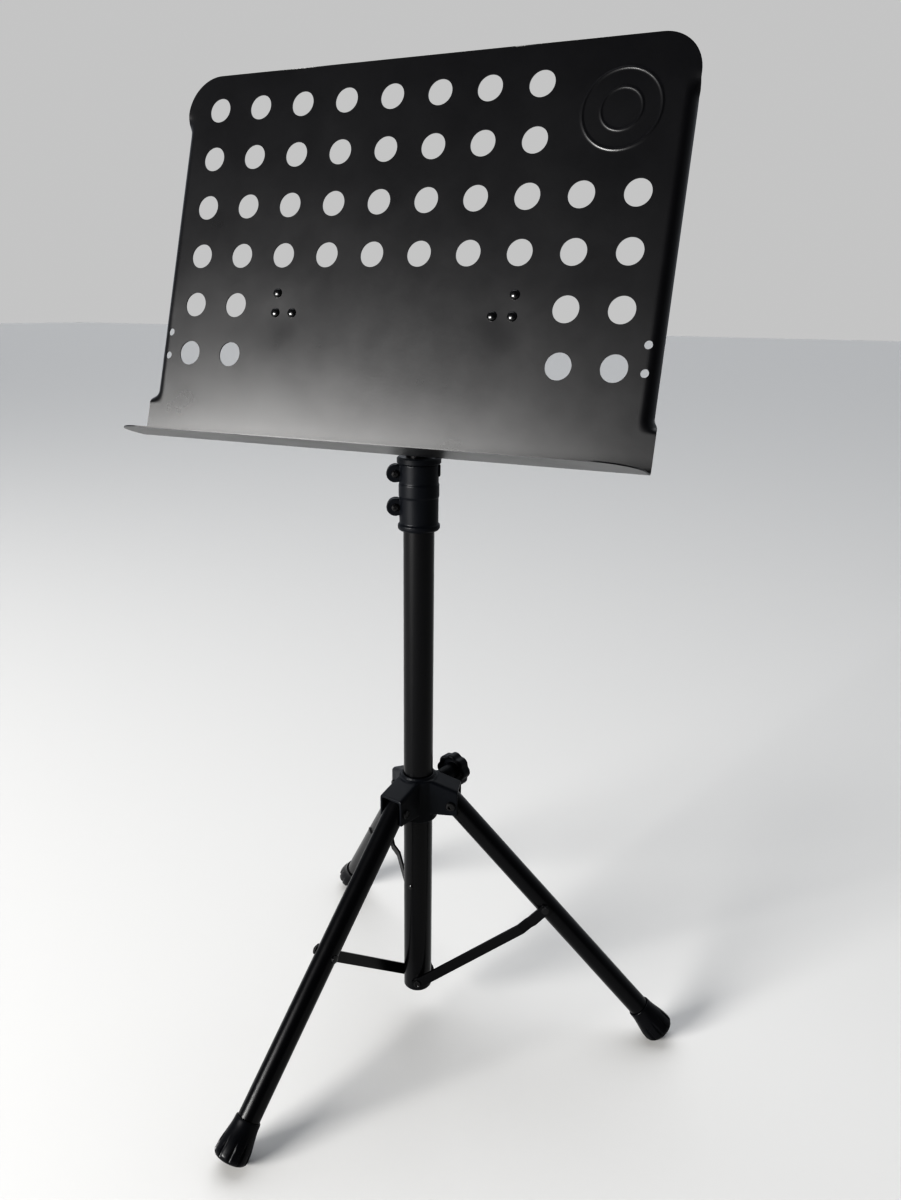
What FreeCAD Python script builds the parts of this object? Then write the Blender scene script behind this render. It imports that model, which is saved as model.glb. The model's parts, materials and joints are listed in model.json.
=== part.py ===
import FreeCAD, Part
import math
import os
import Sketcher

# A folding music stand: a perforated sheet-steel desk on a telescopic column with a tripod
# whose hub slides up the column to fold the legs.
# Frame: millimetres, +Z up, floor at Z = 0, the player stands on the -Y side of the desk and
# X runs along the desk.  The origin is on the floor at the centre of the stand's overall box.

from FreeCAD import Placement, Rotation, Vector

X_AXIS = Vector(1, 0, 0)
Y_AXIS = Vector(0, 1, 0)
Z_AXIS = Vector(0, 0, 1)

# Driving dimensions, one spreadsheet cell each: alias, value, meaning.
DIMENSIONS = (
    ("column_x", -13.8, "column axis across the stand's overall box"),
    ("column_y", 36.3, "column axis along the stand's overall box"),
    # column
    ("tube_radius", 15.0, "outer column tube"),
    ("tube_wall", 1.4, "wall of the outer tube"),
    ("tube_bottom", 38.0, "lower end of the outer tube"),
    ("tube_top", 588.0, "upper end of the outer tube, inside the clutch"),
    ("plug_lip", 3.0, "lip of the end plug under the tube"),
    ("plug_spigot", 5.0, "part of the end plug inside the tube"),
    ("stop_height", 166.5, "pin that stops the sinking mast"),
    ("stop_azimuth", -94.0, "side of the tube that the stop pin is on"),
    # clutch
    ("collar_bottom", 554.0, "lower end of the clutch collar"),
    ("collar_top", 617.5, "upper end of the clutch collar"),
    ("collar_radius", 18.7, "plain part of the collar"),
    ("collar_foot_radius", 20.3, "ring at the collar's lower end"),
    ("collar_band_radius", 19.4, "raised band round the collar's middle"),
    ("collar_band_bottom", 586.0, "lower edge of the raised band"),
    ("collar_band_top", 599.0, "upper edge of the raised band"),
    ("lug_azimuth", 205.0, "side of the collar that carries the clamp lugs"),
    ("lug_radius", 8.4, "round end of a clamp lug"),
    ("lug_reach", 22.4, "screw axis from the column's axis"),
    ("lug_thickness", 4.6, "one clamp lug"),
    ("slit_width", 2.4, "gap between the two lugs of a pair"),
    ("upper_lug_height", 608.6, "upper clamp screw"),
    ("lower_lug_height", 576.5, "lower clamp screw"),
    ("screw_radius", 2.0, "clamp screw shank"),
    ("bush_flange_radius", 21.0, "ring on top of the clutch"),
    ("bush_bottom", 589.0, "lower end of the clutch bush"),
    ("bush_top", 624.5, "upper end of the clutch bush"),
    # mast
    ("mast_radius", 12.5, "inner tube"),
    ("mast_wall", 1.2, "wall of the inner tube"),
    ("mast_bottom", 269.2, "lower end of the inner tube"),
    ("mast_top", 739.0, "upper end of the inner tube"),
    ("guide_length", 16.0, "guide sleeve below the inner tube"),
    ("running_gap", 0.05, "radial clearance of pins and sliding sleeves"),
    # tilt joint
    ("head_bottom", 715.0, "skirt of the tilt head"),
    ("head_radius", 16.0, "socket of the tilt head"),
    ("tilt_height", 749.9, "tilt axis above the floor"),
    ("tilt_reach", 25.0, "tilt axis in front of the column"),
    ("tongue_half", 6.5, "half the thickness of the head's tongue"),
    ("tongue_radius", 12.0, "round end of the tongue"),
    ("tilt_pin_radius", 4.0, "tilt bolt"),
    ("washer_thickness", 1.2, "friction washer"),
    ("ear_gap", 8.0, "inner face of a yoke ear from the middle"),
    ("yoke_sheet", 2.5, "sheet of the tilt yoke"),
    # desk
    ("desk_tilt", 17.0, "desk from the vertical, top away from the player"),
    ("hole_pitch", 44.85, "grid of the round holes"),
    ("hole_radius", 11.05, "round hole"),
    ("grid_height", 822.8, "middle of the hole grid above the floor"),
    ("grid_reach", 40.3, "desk's front face in front of the column at that height"),
    ("sheet", 1.0, "desk sheet"),
    ("desk_half_width", 241.0, "half the width at the flat corners"),
    ("desk_top_half", 237.6, "half the width above the folded sides"),
    ("desk_fold_half", 236.6, "half the width over the folded sides"),
    ("desk_top", 144.0, "top edge above the middle of the grid"),
    ("desk_bottom", 191.5, "underside of the ledge below the middle of the grid"),
    ("desk_corner", 33.0, "radius of the four outer corners"),
    ("ledge_depth", 50.0, "ledge that the music stands on"),
    ("ledge_bend", 2.0, "inner radius of the bend at the ledge"),
    ("fold_bottom", 155.0, "lower end of the folded sides below the middle of the grid"),
    ("fold_top", 98.0, "upper end of the folded sides above the middle of the grid"),
    ("fold_depth", 9.4, "folded side behind the front face"),
    ("fold_bend", 7.9, "inner radius of the folded side"),
    ("clip_hole_radius", 3.4, "small holes beside the lower corners"),
    ("clip_hole_reach", 226.0, "small holes from the desk's middle"),
    ("clip_hole_upper", 93.3, "upper small hole below the middle of the grid"),
    ("clip_hole_lower", 115.0, "lower small hole below the middle of the grid"),
    ("rivet_outer", 113.0, "outer rivets from the desk's middle"),
    ("rivet_inner", 95.6, "inner rivet from the desk's middle"),
    ("rivet_upper", 56.3, "upper rivet below the middle of the grid"),
    ("rivet_lower", 73.8, "lower rivets below the middle of the grid"),
    ("rivet_radius", 2.4, "rivet shank"),
    ("rivet_head_radius", 4.1, "rivet head"),
    ("bracket_stand_off", 9.5, "middle of the cross bracket behind the sheet"),
    ("bracket_half_width", 16.0, "half the height of the cross bracket"),
    ("bracket_sheet", 2.0, "sheet of the cross bracket"),
    # hub
    ("hub_pivot_radius", 36.0, "leg pivot from the column's axis"),
    ("hub_pivot_height", 267.0, "leg pivot above the floor"),
    ("hub_bottom", 247.0, "lower end of the hub's barrel"),
    ("hub_top", 296.5, "lip round the column on top of the hub"),
    ("hub_radius", 20.0, "hub barrel"),
    ("hub_lip_radius", 17.6, "lip round the column"),
    ("cheek_half", 14.4, "half the width of a leg socket"),
    ("socket_half", 11.4, "half the gap between the cheeks"),
    ("cheek_end", 43.5, "outer end of a leg socket"),
    ("cheek_bottom", 256.0, "lower edge of a leg socket"),
    ("roof_inner", 293.5, "roof of a leg socket at the barrel"),
    ("roof_outer", 283.5, "roof of a leg socket at its outer end"),
    ("roof_sheet", 3.2, "thickness of the roof"),
    ("pivot_pin_radius", 3.0, "leg pivot bolt"),
    ("knob_height", 275.5, "axis of the hub's clamp knob"),
    ("knob_inner", 53.5, "face of the clamp knob that looks at the hub"),
    ("knob_radius", 18.6, "star knob"),
    ("knob_thickness", 13.0, "star knob"),
    ("knob_neck", 18.0, "neck of the clamp knob"),
    ("boss_end", 33.0, "outer end of the clamp screw's boss"),
    ("boss_radius", 9.5, "boss of the clamp screw"),
    ("stud_radius", 4.0, "clamp screw"),
    # legs
    ("front_azimuth", -103.7, "direction of the front leg"),
    ("leg_spread", 41.9, "leg from the vertical"),
    ("leg_radius", 11.0, "leg tube"),
    ("leg_wall", 1.2, "wall of a leg tube"),
    ("leg_head", 6.0, "leg tube above its pivot"),
    ("leg_end", 331.0, "lower end of a leg tube from its pivot"),
    ("foot_start", 310.5, "upper end of a foot from the pivot"),
    ("foot_end", 348.2, "lower end of a foot from the pivot"),
    ("foot_radius", 16.7, "widest part of a foot"),
    ("foot_neck_radius", 12.5, "upper rim of a foot"),
    # braces
    ("brace_pin_reach", 2.5, "lower brace pin from the column's axis"),
    ("brace_pin_height", 47.0, "lower brace pin above the floor"),
    ("brace_on_leg", 153.0, "upper brace pin from the leg's pivot"),
    ("brace_half_width", 5.6, "half the width of a brace"),
    ("brace_sheet", 2.2, "sheet of a brace"),
    ("brace_at_column", 15.3, "inner face of a brace beside the column"),
    ("brace_at_leg", 11.4, "inner face of a brace beside its leg"),
    ("brace_pin_radius", 2.5, "brace rivets"),
    ("brace_head_radius", 4.3, "brace rivet heads"),
)

document = FreeCAD.newDocument("music_stand")
sheet = document.addObject("Spreadsheet::Sheet", "Sizes")


class Size:
    """A dimension: its value, and the spreadsheet formula that gives it."""

    def __init__(self, value, formula=None):
        self.value = float(value)
        self.formula = formula or repr(float(value))

    def join(self, other, sign, value):
        return Size(value, f"({self.formula} {sign} {other.formula})")

    def __add__(self, other):
        other = as_size(other)
        return self.join(other, "+", self.value + other.value)

    def __sub__(self, other):
        other = as_size(other)
        return self.join(other, "-", self.value - other.value)

    def __rsub__(self, other):
        return as_size(other) - self

    def __mul__(self, other):
        other = as_size(other)
        return self.join(other, "*", self.value * other.value)

    def __truediv__(self, other):
        other = as_size(other)
        return self.join(other, "/", self.value / other.value)

    def __neg__(self):
        return Size(-self.value, f"(0 - {self.formula})")

    __radd__ = __add__
    __rmul__ = __mul__


def as_size(number):
    return number if isinstance(number, Size) else Size(number)


class Sizes:
    """The spreadsheet's cells as attributes: size.tube_radius and so on."""


size = Sizes()
for row, (alias, value, meaning) in enumerate(DIMENSIONS, start=1):
    sheet.set(f"A{row}", meaning)
    sheet.set(f"B{row}", str(value))
    sheet.setAlias(f"B{row}", alias)
    setattr(size, alias, Size(value, f"Sizes.{alias}"))
document.recompute()

NODES = []


# ---------------------------------------------------------------- building blocks


def bind(thing, name, dimension):
    """Tie one property or sketch constraint to the spreadsheet."""
    thing.setExpression(name, as_size(dimension).formula)


def origin_plane(body, role):
    for feature in body.Origin.OriginFeatures:
        if feature.Role == role:
            return feature
    raise ValueError(role)


def new_sketch(body, role, name, offset=None):
    sketch = body.newObject("Sketcher::SketchObject", name)
    sketch.AttachmentSupport = [(origin_plane(body, role), "")]
    sketch.MapMode = "FlatFace"
    if offset is not None:
        sketch.AttachmentOffset = Placement(Vector(0, 0, as_size(offset).value), Rotation())
        bind(sketch, "AttachmentOffset.Base.z", offset)
    return sketch


def fix_point(sketch, geometry, point, place):
    """Hold a point of the sketch at a place given by two dimensions."""
    for kind, dimension in zip(("DistanceX", "DistanceY"), place):
        dimension = as_size(dimension)
        index = sketch.addConstraint(
            Sketcher.Constraint(kind, -1, 1, geometry, point, dimension.value)
        )
        bind(sketch, f"Constraints[{index}]", dimension)


def add_polygon(sketch, corners):
    """A closed outline through the corners, every corner held by its two dimensions."""
    corners = [tuple(as_size(c) for c in corner) for corner in corners]
    first = sketch.GeometryCount
    count = len(corners)
    for i, (u, v) in enumerate(corners):
        end = corners[(i + 1) % count]
        start_point = Vector(u.value, v.value, 0)
        end_point = Vector(end[0].value, end[1].value, 0)
        sketch.addGeometry(Part.LineSegment(start_point, end_point), False)
    for i, corner in enumerate(corners):
        following = first + (i + 1) % count
        sketch.addConstraint(Sketcher.Constraint("Coincident", first + i, 2, following, 1))
        fix_point(sketch, first + i, 1, corner)


def add_circle(sketch, centre, radius):
    centre = tuple(as_size(c) for c in centre)
    radius = as_size(radius)
    middle = Vector(centre[0].value, centre[1].value, 0)
    index = sketch.addGeometry(Part.Circle(middle, Z_AXIS, radius.value), False)
    fix_point(sketch, index, 3, centre)
    number = sketch.addConstraint(Sketcher.Constraint("Radius", index, radius.value))
    bind(sketch, f"Constraints[{number}]", radius)


def new_body(name):
    return document.addObject("PartDesign::Body", name)


def plate_body(name, role, corners, thickness, holes=()):
    """A plate centred on an origin plane: outline, thickness and round holes."""
    body = new_body(name)
    sketch = new_sketch(body, role, name + "_outline")
    add_polygon(sketch, corners)
    for centre, radius in holes:
        add_circle(sketch, centre, radius)
    pad = body.newObject("PartDesign::Pad", name + "_pad")
    pad.Profile = sketch
    pad.SideType = "Symmetric"
    pad.Length = as_size(thickness).value
    bind(pad, "Length", thickness)
    body.Tip = pad
    return body


def turned_body(name, corners):
    """A body of revolution about Z: corners are (radius, height)."""
    body = new_body(name)
    sketch = new_sketch(body, "XZ_Plane", name + "_profile")
    add_polygon(sketch, corners)
    turn = body.newObject("PartDesign::Revolution", name + "_turn")
    turn.Profile = sketch
    turn.ReferenceAxis = (sketch, ["V_Axis"])
    turn.Angle = 360
    body.Tip = turn
    return body


def cylinder(name, radius, length, place=None):
    solid = document.addObject("Part::Cylinder", name)
    bind(solid, "Radius", radius)
    bind(solid, "Height", length)
    if place is not None:
        solid.Placement = place
    return solid


def cut(name, base, tools):
    """The base without its tools, one Part::Cut."""
    result = document.addObject("Part::Cut", name)
    result.Base = base
    result.Tool = tools[0] if len(tools) == 1 else fuse(name + "_tools", tools)
    return result


def fuse(name, shapes):
    result = document.addObject("Part::MultiFuse", name)
    result.Shapes = shapes
    return result


def group(name, solids):
    """Several separate solids that share one node."""
    result = document.addObject("Part::Compound", name)
    result.Links = solids
    return result


def add_fillet(body, name, radius, chooses):
    """A PartDesign fillet on the body's tip, on every edge that chooses(edge) accepts."""
    document.recompute()
    tip = body.Tip
    edges = [
        f"Edge{number}"
        for number, edge in enumerate(tip.Shape.Edges, start=1)
        if chooses(edge)
    ]
    if not edges:
        raise RuntimeError(f"{name} found no edge")
    fillet = body.newObject("PartDesign::Fillet", name)
    fillet.Base = (tip, edges)
    fillet.Radius = as_size(radius).value
    bind(fillet, "Radius", radius)
    body.Tip = fillet
    return fillet


def along(edge, axis):
    """True for a straight edge parallel to the axis."""
    if not isinstance(edge.Curve, Part.Line):
        return False
    return abs(abs(edge.Curve.Direction.dot(axis)) - 1) < 1e-6


def middle(edge):
    return edge.BoundBox.Center


def node(label, thing, place=None):
    """Name a finished sub-part, put it in place and list it for export."""
    if place is not None:
        thing.Placement = place.multiply(thing.Placement)
    thing.Label = label
    NODES.append(thing)
    return thing


def at(x=0.0, y=0.0, z=0.0):
    return Placement(Vector(x, y, z), Rotation())


def turn_about(axis, degrees):
    return Placement(Vector(0, 0, 0), Rotation(axis, degrees))


COLUMN = at(size.column_x.value, size.column_y.value)


def radial(azimuth):
    """Frame on the column's axis whose X points out in the azimuth's direction."""
    return COLUMN.multiply(turn_about(Z_AXIS, azimuth))


# A cylinder's own axis laid along -Y or +Y, or along +X, before it is put in place.
LAY_TO_MINUS_Y = turn_about(X_AXIS, 90)
LAY_TO_PLUS_Y = turn_about(X_AXIS, -90)
LAY_TO_PLUS_X = turn_about(Y_AXIS, 90)


def rivet(name, shank, head_radius, head_height, start, end):
    """A domed rivet about Z: the shank from start to end, then the head."""
    start = as_size(start)
    end = as_size(end)
    return turned_body(
        name,
        (
            (0, start),
            (shank, start),
            (shank, end),
            (head_radius, end),
            (head_radius * 0.93, end + head_height * 0.55),
            (head_radius * 0.6, end + head_height * 0.92),
            (0, end + head_height),
        ),
    )


def star_knob(name, bore):
    """A knob with eight lobes about Z, its hub side at Z = 0, and a blind bore."""
    lobes = 8
    blank = turned_body(
        name + "_blank",
        (
            (bore, 0),
            (size.knob_radius * 0.55, 0),
            (size.knob_radius * 0.92, 1.0),
            (size.knob_radius, 3.0),
            (size.knob_radius, size.knob_thickness - 3.5),
            (size.knob_radius * 0.9, size.knob_thickness - 1.0),
            (size.knob_radius * 0.7, size.knob_thickness),
            (0, size.knob_thickness),
            (0, size.knob_thickness - 3.0),
            (bore, size.knob_thickness - 3.0),
        ),
    )
    scallops = []
    for i in range(lobes):
        angle = 360.0 * (i + 0.5) / lobes
        reach = size.knob_radius.value * 1.13
        place = turn_about(Z_AXIS, angle).multiply(at(reach, 0, -1))
        scallops.append(
            cylinder(f"{name}_scallop_{i}", size.knob_radius * 0.24, size.knob_thickness + 2, place)
        )
    return cut(name, blank, scallops)


# ---------------------------------------------------------------- column


def build_column():
    length = size.tube_top - size.tube_bottom
    outer = cylinder("outer_tube_blank", size.tube_radius, length)
    inside = cylinder("outer_tube_inside", size.tube_radius - size.tube_wall, length)
    pins = []
    for number, azimuth in enumerate(leg_azimuths()):
        place = turn_about(Z_AXIS, azimuth).multiply(
            at(size.brace_pin_reach.value, 0, (size.brace_pin_height - size.tube_bottom).value)
        )
        pins.append(
            cylinder(
                f"brace_pin_hole_{number}",
                size.brace_pin_radius,
                size.tube_radius + 2,
                place.multiply(LAY_TO_MINUS_Y),
            )
        )
    stop_place = turn_about(Z_AXIS, size.stop_azimuth.value).multiply(
        at(0, 0, (size.stop_height - size.tube_bottom).value)
    )
    stop_hole = cylinder(
        "stop_hole", 1.6, size.tube_radius + 2, stop_place.multiply(LAY_TO_PLUS_X)
    )
    tube = cut("outer_tube", outer, [inside, *pins, stop_hole])
    node("outer_tube", tube, COLUMN.multiply(at(0, 0, size.tube_bottom.value)))

    inner_radius = size.tube_radius - size.tube_wall
    plug = turned_body(
        "tube_end_plug",
        (
            (0, 0 - size.plug_lip),
            (size.tube_radius - 2.6, 0 - size.plug_lip),
            (size.tube_radius - 0.9, 0 - size.plug_lip * 0.7),
            (size.tube_radius, 0 - size.plug_lip * 0.25),
            (size.tube_radius, 0),
            (inner_radius, 0),
            (inner_radius, 3.5),
            (inner_radius - 2.2, 3.5),
            (inner_radius - 2.2, 0.5),
            (0, 0.5),
        ),
    )
    node("tube_end_plug", plug, COLUMN.multiply(at(0, 0, size.tube_bottom.value)))

    stop = rivet("mast_stop_pin", 1.6, 2.5, 1.3, size.tube_radius - 3.4, size.tube_radius + 0.05)
    stop_frame = radial(size.stop_azimuth.value).multiply(at(0, 0, size.stop_height.value))
    node("mast_stop_pin", stop, stop_frame.multiply(LAY_TO_PLUS_X))


def build_brace_pins():
    """The three rivets on which the braces turn, through the lower end of the column."""
    pins = []
    face = size.brace_at_column + size.brace_sheet
    for number, azimuth in enumerate(leg_azimuths()):
        pin = turned_body(
            f"column_brace_pin_{number}",
            (
                (0, 11.2),
                (3.4, 11.2),
                (3.4, 12.9),
                (size.brace_pin_radius, 12.9),
                (size.brace_pin_radius, face + 0.25),
                (size.brace_head_radius, face + 0.25),
                (size.brace_head_radius * 0.9, face + 1.3),
                (size.brace_head_radius * 0.55, face + 1.7),
                (size.brace_head_radius * 0.4, face + 1.1),
                (0, face + 0.9),
            ),
        )
        place = radial(azimuth).multiply(
            at(size.brace_pin_reach.value, 0, size.brace_pin_height.value)
        )
        pin.Placement = place.multiply(LAY_TO_MINUS_Y)
        pins.append(pin)
    node("column_brace_pins", group("column_brace_pins", pins))


def build_clutch():
    collar = turned_body(
        "collar_ring",
        (
            (size.tube_radius, size.collar_bottom),
            (size.collar_foot_radius - 1.6, size.collar_bottom),
            (size.collar_foot_radius, size.collar_bottom + 2.0),
            (size.collar_foot_radius, size.collar_bottom + 5.4),
            (size.collar_foot_radius - 0.6, size.collar_bottom + 6.0),
            (size.collar_radius - 0.5, size.collar_bottom + 6.0),
            (size.collar_radius - 0.5, size.collar_bottom + 6.9),
            (size.collar_radius, size.collar_bottom + 6.9),
            (size.collar_radius, size.collar_band_bottom),
            (size.collar_band_radius, size.collar_band_bottom + 0.5),
            (size.collar_band_radius, size.collar_band_top - 0.5),
            (size.collar_radius, size.collar_band_top),
            (size.collar_radius, size.collar_top),
            (size.tube_radius, size.collar_top),
        ),
    )
    heights = (size.upper_lug_height, size.lower_lug_height)
    lugs = []
    screw_holes = []
    screws = []
    nuts = []
    half_slit = size.slit_width / 2
    outer_face = half_slit + size.lug_thickness
    lug_frame = turn_about(Z_AXIS, size.lug_azimuth.value)
    for number, height in enumerate(heights):
        for side, lay in (("near", LAY_TO_PLUS_Y), ("far", LAY_TO_MINUS_Y)):
            sign = 1 if side == "near" else -1
            centre = at(size.lug_reach.value, sign * half_slit.value, height.value)
            lugs.append(
                cylinder(
                    f"lug_{number}_{side}",
                    size.lug_radius,
                    size.lug_thickness,
                    lug_frame.multiply(centre).multiply(lay),
                )
            )
        through = at(size.lug_reach.value, 12, height.value).multiply(LAY_TO_MINUS_Y)
        screw_holes.append(
            cylinder(f"screw_hole_{number}", size.screw_radius, 24, lug_frame.multiply(through))
        )
        screw = clamp_screw(f"clutch_screw_{number}", outer_face)
        middle_place = at(size.lug_reach.value, 0, height.value)
        screw.Placement = COLUMN.multiply(lug_frame).multiply(middle_place).multiply(LAY_TO_PLUS_Y)
        screws.append(screw)
        nut = hexagon_nut(f"clutch_nut_{number}", size.screw_radius, 3.5, 3.0)
        nut_place = at(size.lug_reach.value, -(outer_face.value + 3.0), height.value)
        nut.Placement = (
            COLUMN.multiply(lug_frame).multiply(nut_place).multiply(LAY_TO_PLUS_Y)
        )
        nuts.append(nut)
    slit = document.addObject("Part::Box", "collar_slit")
    bind(slit, "Length", size.lug_reach + size.lug_radius)
    bind(slit, "Width", size.slit_width)
    bind(slit, "Height", size.collar_top - size.collar_bottom + 2)
    slit.Placement = lug_frame.multiply(at(0, -half_slit.value, size.collar_bottom.value - 1))
    bore = cylinder(
        "collar_bore",
        size.tube_radius,
        size.collar_top - size.collar_bottom + 2,
        at(0, 0, size.collar_bottom.value - 1),
    )
    rib = document.addObject("Part::Box", "collar_rib")
    rib.Length = 2.6
    rib.Width = 3.2
    rib.Height = 11.0
    rib.Placement = turn_about(Z_AXIS, 20.0).multiply(
        at(size.collar_radius.value - 1.0, -1.6, size.collar_top.value - 11.5)
    )
    body = fuse("collar_with_lugs", [collar, *lugs, rib])
    solid = cut("clutch_collar", body, [slit, bore, *screw_holes])
    node("clutch_collar", solid, COLUMN)
    node("clutch_screws", group("clutch_screws", screws))
    node("clutch_nuts", group("clutch_nuts", nuts))

    bush = turned_body(
        "clutch_bush",
        (
            (size.mast_radius + size.running_gap, size.bush_bottom),
            (size.tube_radius - size.running_gap, size.bush_bottom),
            (size.tube_radius - size.running_gap, size.collar_top + 0.4),
            (size.bush_flange_radius - 1.0, size.collar_top + 0.4),
            (size.bush_flange_radius, size.collar_top + 1.2),
            (size.bush_flange_radius, size.bush_top - 1.5),
            (size.bush_flange_radius - 1.5, size.bush_top),
            (size.mast_radius + size.running_gap, size.bush_top),
        ),
    )
    node("clutch_bush", bush, COLUMN)


def clamp_screw(name, face):
    """A pan-head cross screw along Z; its head bears on a face at +face."""
    body = turned_body(
        name,
        (
            (0, 0 - face - 4.6),
            (size.screw_radius, 0 - face - 4.6),
            (size.screw_radius, face),
            (3.6, face),
            (3.6, face + 1.3),
            (2.9, face + 2.1),
            (1.6, face + 2.5),
            (0, face + 2.6),
        ),
    )
    recesses = []
    for number, angle in enumerate((45.0, 135.0)):
        bar = document.addObject("Part::Box", f"{name}_recess_{number}")
        bar.Length = 3.6
        bar.Width = 0.8
        bar.Height = 1.6
        centre = at(-1.8, -0.4, face.value + 1.3)
        bar.Placement = turn_about(Z_AXIS, angle).multiply(centre)
        recesses.append(bar)
    return cut(name + "_crossed", body, recesses)


def hexagon_nut(name, bore, across_flats_half, height):
    """A hexagon nut about Z, standing on Z = 0."""
    prism = document.addObject("Part::Prism", name + "_blank")
    prism.Polygon = 6
    bind(prism, "Circumradius", as_size(across_flats_half) / math.cos(math.pi / 6))
    bind(prism, "Height", height)
    through = cylinder(name + "_bore", bore, as_size(height) + 2, at(0, 0, -1))
    return cut(name, prism, [through])


# ---------------------------------------------------------------- mast and tilt joint


def build_mast():
    length = size.mast_top - size.mast_bottom
    outer = cylinder("mast_blank", size.mast_radius, length)
    inside = cylinder("mast_inside", size.mast_radius - size.mast_wall, length)
    tube = cut("inner_tube", outer, [inside])
    node("inner_tube", tube, COLUMN.multiply(at(0, 0, size.mast_bottom.value)))

    slide_radius = size.tube_radius - size.tube_wall - size.running_gap
    guide = turned_body(
        "mast_guide",
        (
            (size.mast_radius - size.mast_wall - 2.4, 0 - size.guide_length),
            (slide_radius - 1.0, 0 - size.guide_length),
            (slide_radius, 1.0 - size.guide_length),
            (slide_radius, 0),
            (size.mast_radius - size.mast_wall, 0),
            (size.mast_radius - size.mast_wall, 12.0),
            (size.mast_radius - size.mast_wall - 2.4, 12.0),
        ),
    )
    node("mast_guide", guide, COLUMN.multiply(at(0, 0, size.mast_bottom.value)))


def build_tilt_head():
    """The casting on top of the mast, with a tongue that reaches forward to the tilt axis."""
    crown = size.mast_top + 4.0
    socket = turned_body(
        "head_socket",
        (
            (size.mast_radius, size.head_bottom),
            (size.head_radius - 1.2, size.head_bottom),
            (size.head_radius, size.head_bottom + 1.2),
            (size.head_radius, crown - 3.0),
            (size.head_radius - 3.0, crown),
            (0, crown),
            (0, size.mast_top),
            (size.mast_radius, size.mast_top),
        ),
    )
    # outline in the plane across X, seen along +X: first number is Y, second is Z
    tongue = plate_body(
        "head_tongue",
        "YZ_Plane",
        (
            (0 - size.tilt_reach, size.tilt_height - size.tongue_radius),
            (0 - size.head_radius + 2.0, size.head_bottom + 3.0),
            (0 - size.mast_radius - 0.4, size.head_bottom + 3.0),
            (0 - size.mast_radius - 0.4, size.mast_top + 0.4),
            (size.mast_radius - 2.0, size.mast_top + 0.4),
            (size.mast_radius - 2.0, crown - 1.0),
            (0 - size.tilt_reach, size.tilt_height + size.tongue_radius),
        ),
        size.tongue_half * 2,
    )
    axis = at(0, -size.tilt_reach.value, size.tilt_height.value)
    nose = cylinder(
        "head_nose",
        size.tongue_radius,
        size.tongue_half * 2,
        at(-size.tongue_half.value).multiply(axis).multiply(LAY_TO_PLUS_X),
    )
    hole = cylinder(
        "head_bolt_hole",
        size.tilt_pin_radius + size.running_gap,
        60,
        at(-30).multiply(axis).multiply(LAY_TO_PLUS_X),
    )
    head = cut("tilt_head", fuse("head_solid", [socket, tongue, nose]), [hole])
    node("tilt_head", head, COLUMN)

    washers = []
    for number, start in enumerate((size.tongue_half, 0 - size.tongue_half - size.washer_thickness)):
        disc = cylinder(
            f"washer_disc_{number}",
            size.tongue_radius - 1.0,
            size.washer_thickness,
        )
        bore = cylinder(f"washer_bore_{number}", size.tilt_pin_radius + 0.3, size.washer_thickness)
        washer = cut(f"washer_{number}", disc, [bore])
        place = COLUMN.multiply(at(start.value)).multiply(axis)
        washer.Placement = place.multiply(LAY_TO_PLUS_X)
        washers.append(washer)
    node("tilt_washers", group("tilt_washers", washers))


# ---------------------------------------------------------------- desk


def desk_frame():
    """Frame of the desk: X across, Z up the sheet, -Y out of its front face."""
    place = at(0, -size.grid_reach.value, size.grid_height.value)
    return COLUMN.multiply(place).multiply(turn_about(X_AXIS, -size.desk_tilt.value))


def tilt_axis_in_desk():
    """The tilt axis in the desk's frame: distance behind the front face, and height."""
    tilt = math.radians(size.desk_tilt.value)
    back = size.grid_reach.value - size.tilt_reach.value
    rise = size.tilt_height.value - size.grid_height.value
    return (
        back * math.cos(tilt) - rise * math.sin(tilt),
        back * math.sin(tilt) + rise * math.cos(tilt),
    )


def desk_holes():
    """Centres of the round holes as steps of the pitch: columns 0-9, rows 0-5 from the top."""
    rows = {0: range(8), 1: range(8), 2: range(10), 3: range(10), 4: (0, 1, 8, 9), 5: (0, 1, 8, 9)}
    for number, columns in rows.items():
        for column in columns:
            yield size.hole_pitch * (column - 4.5), size.hole_pitch * (2.5 - number)


def rivet_places():
    """The six rivets, three at each end of the cross bracket."""
    for side in (-1, 1):
        yield size.rivet_outer * side, 0 - size.rivet_upper
        yield size.rivet_outer * side, 0 - size.rivet_lower
        yield size.rivet_inner * side, 0 - size.rivet_lower


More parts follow.
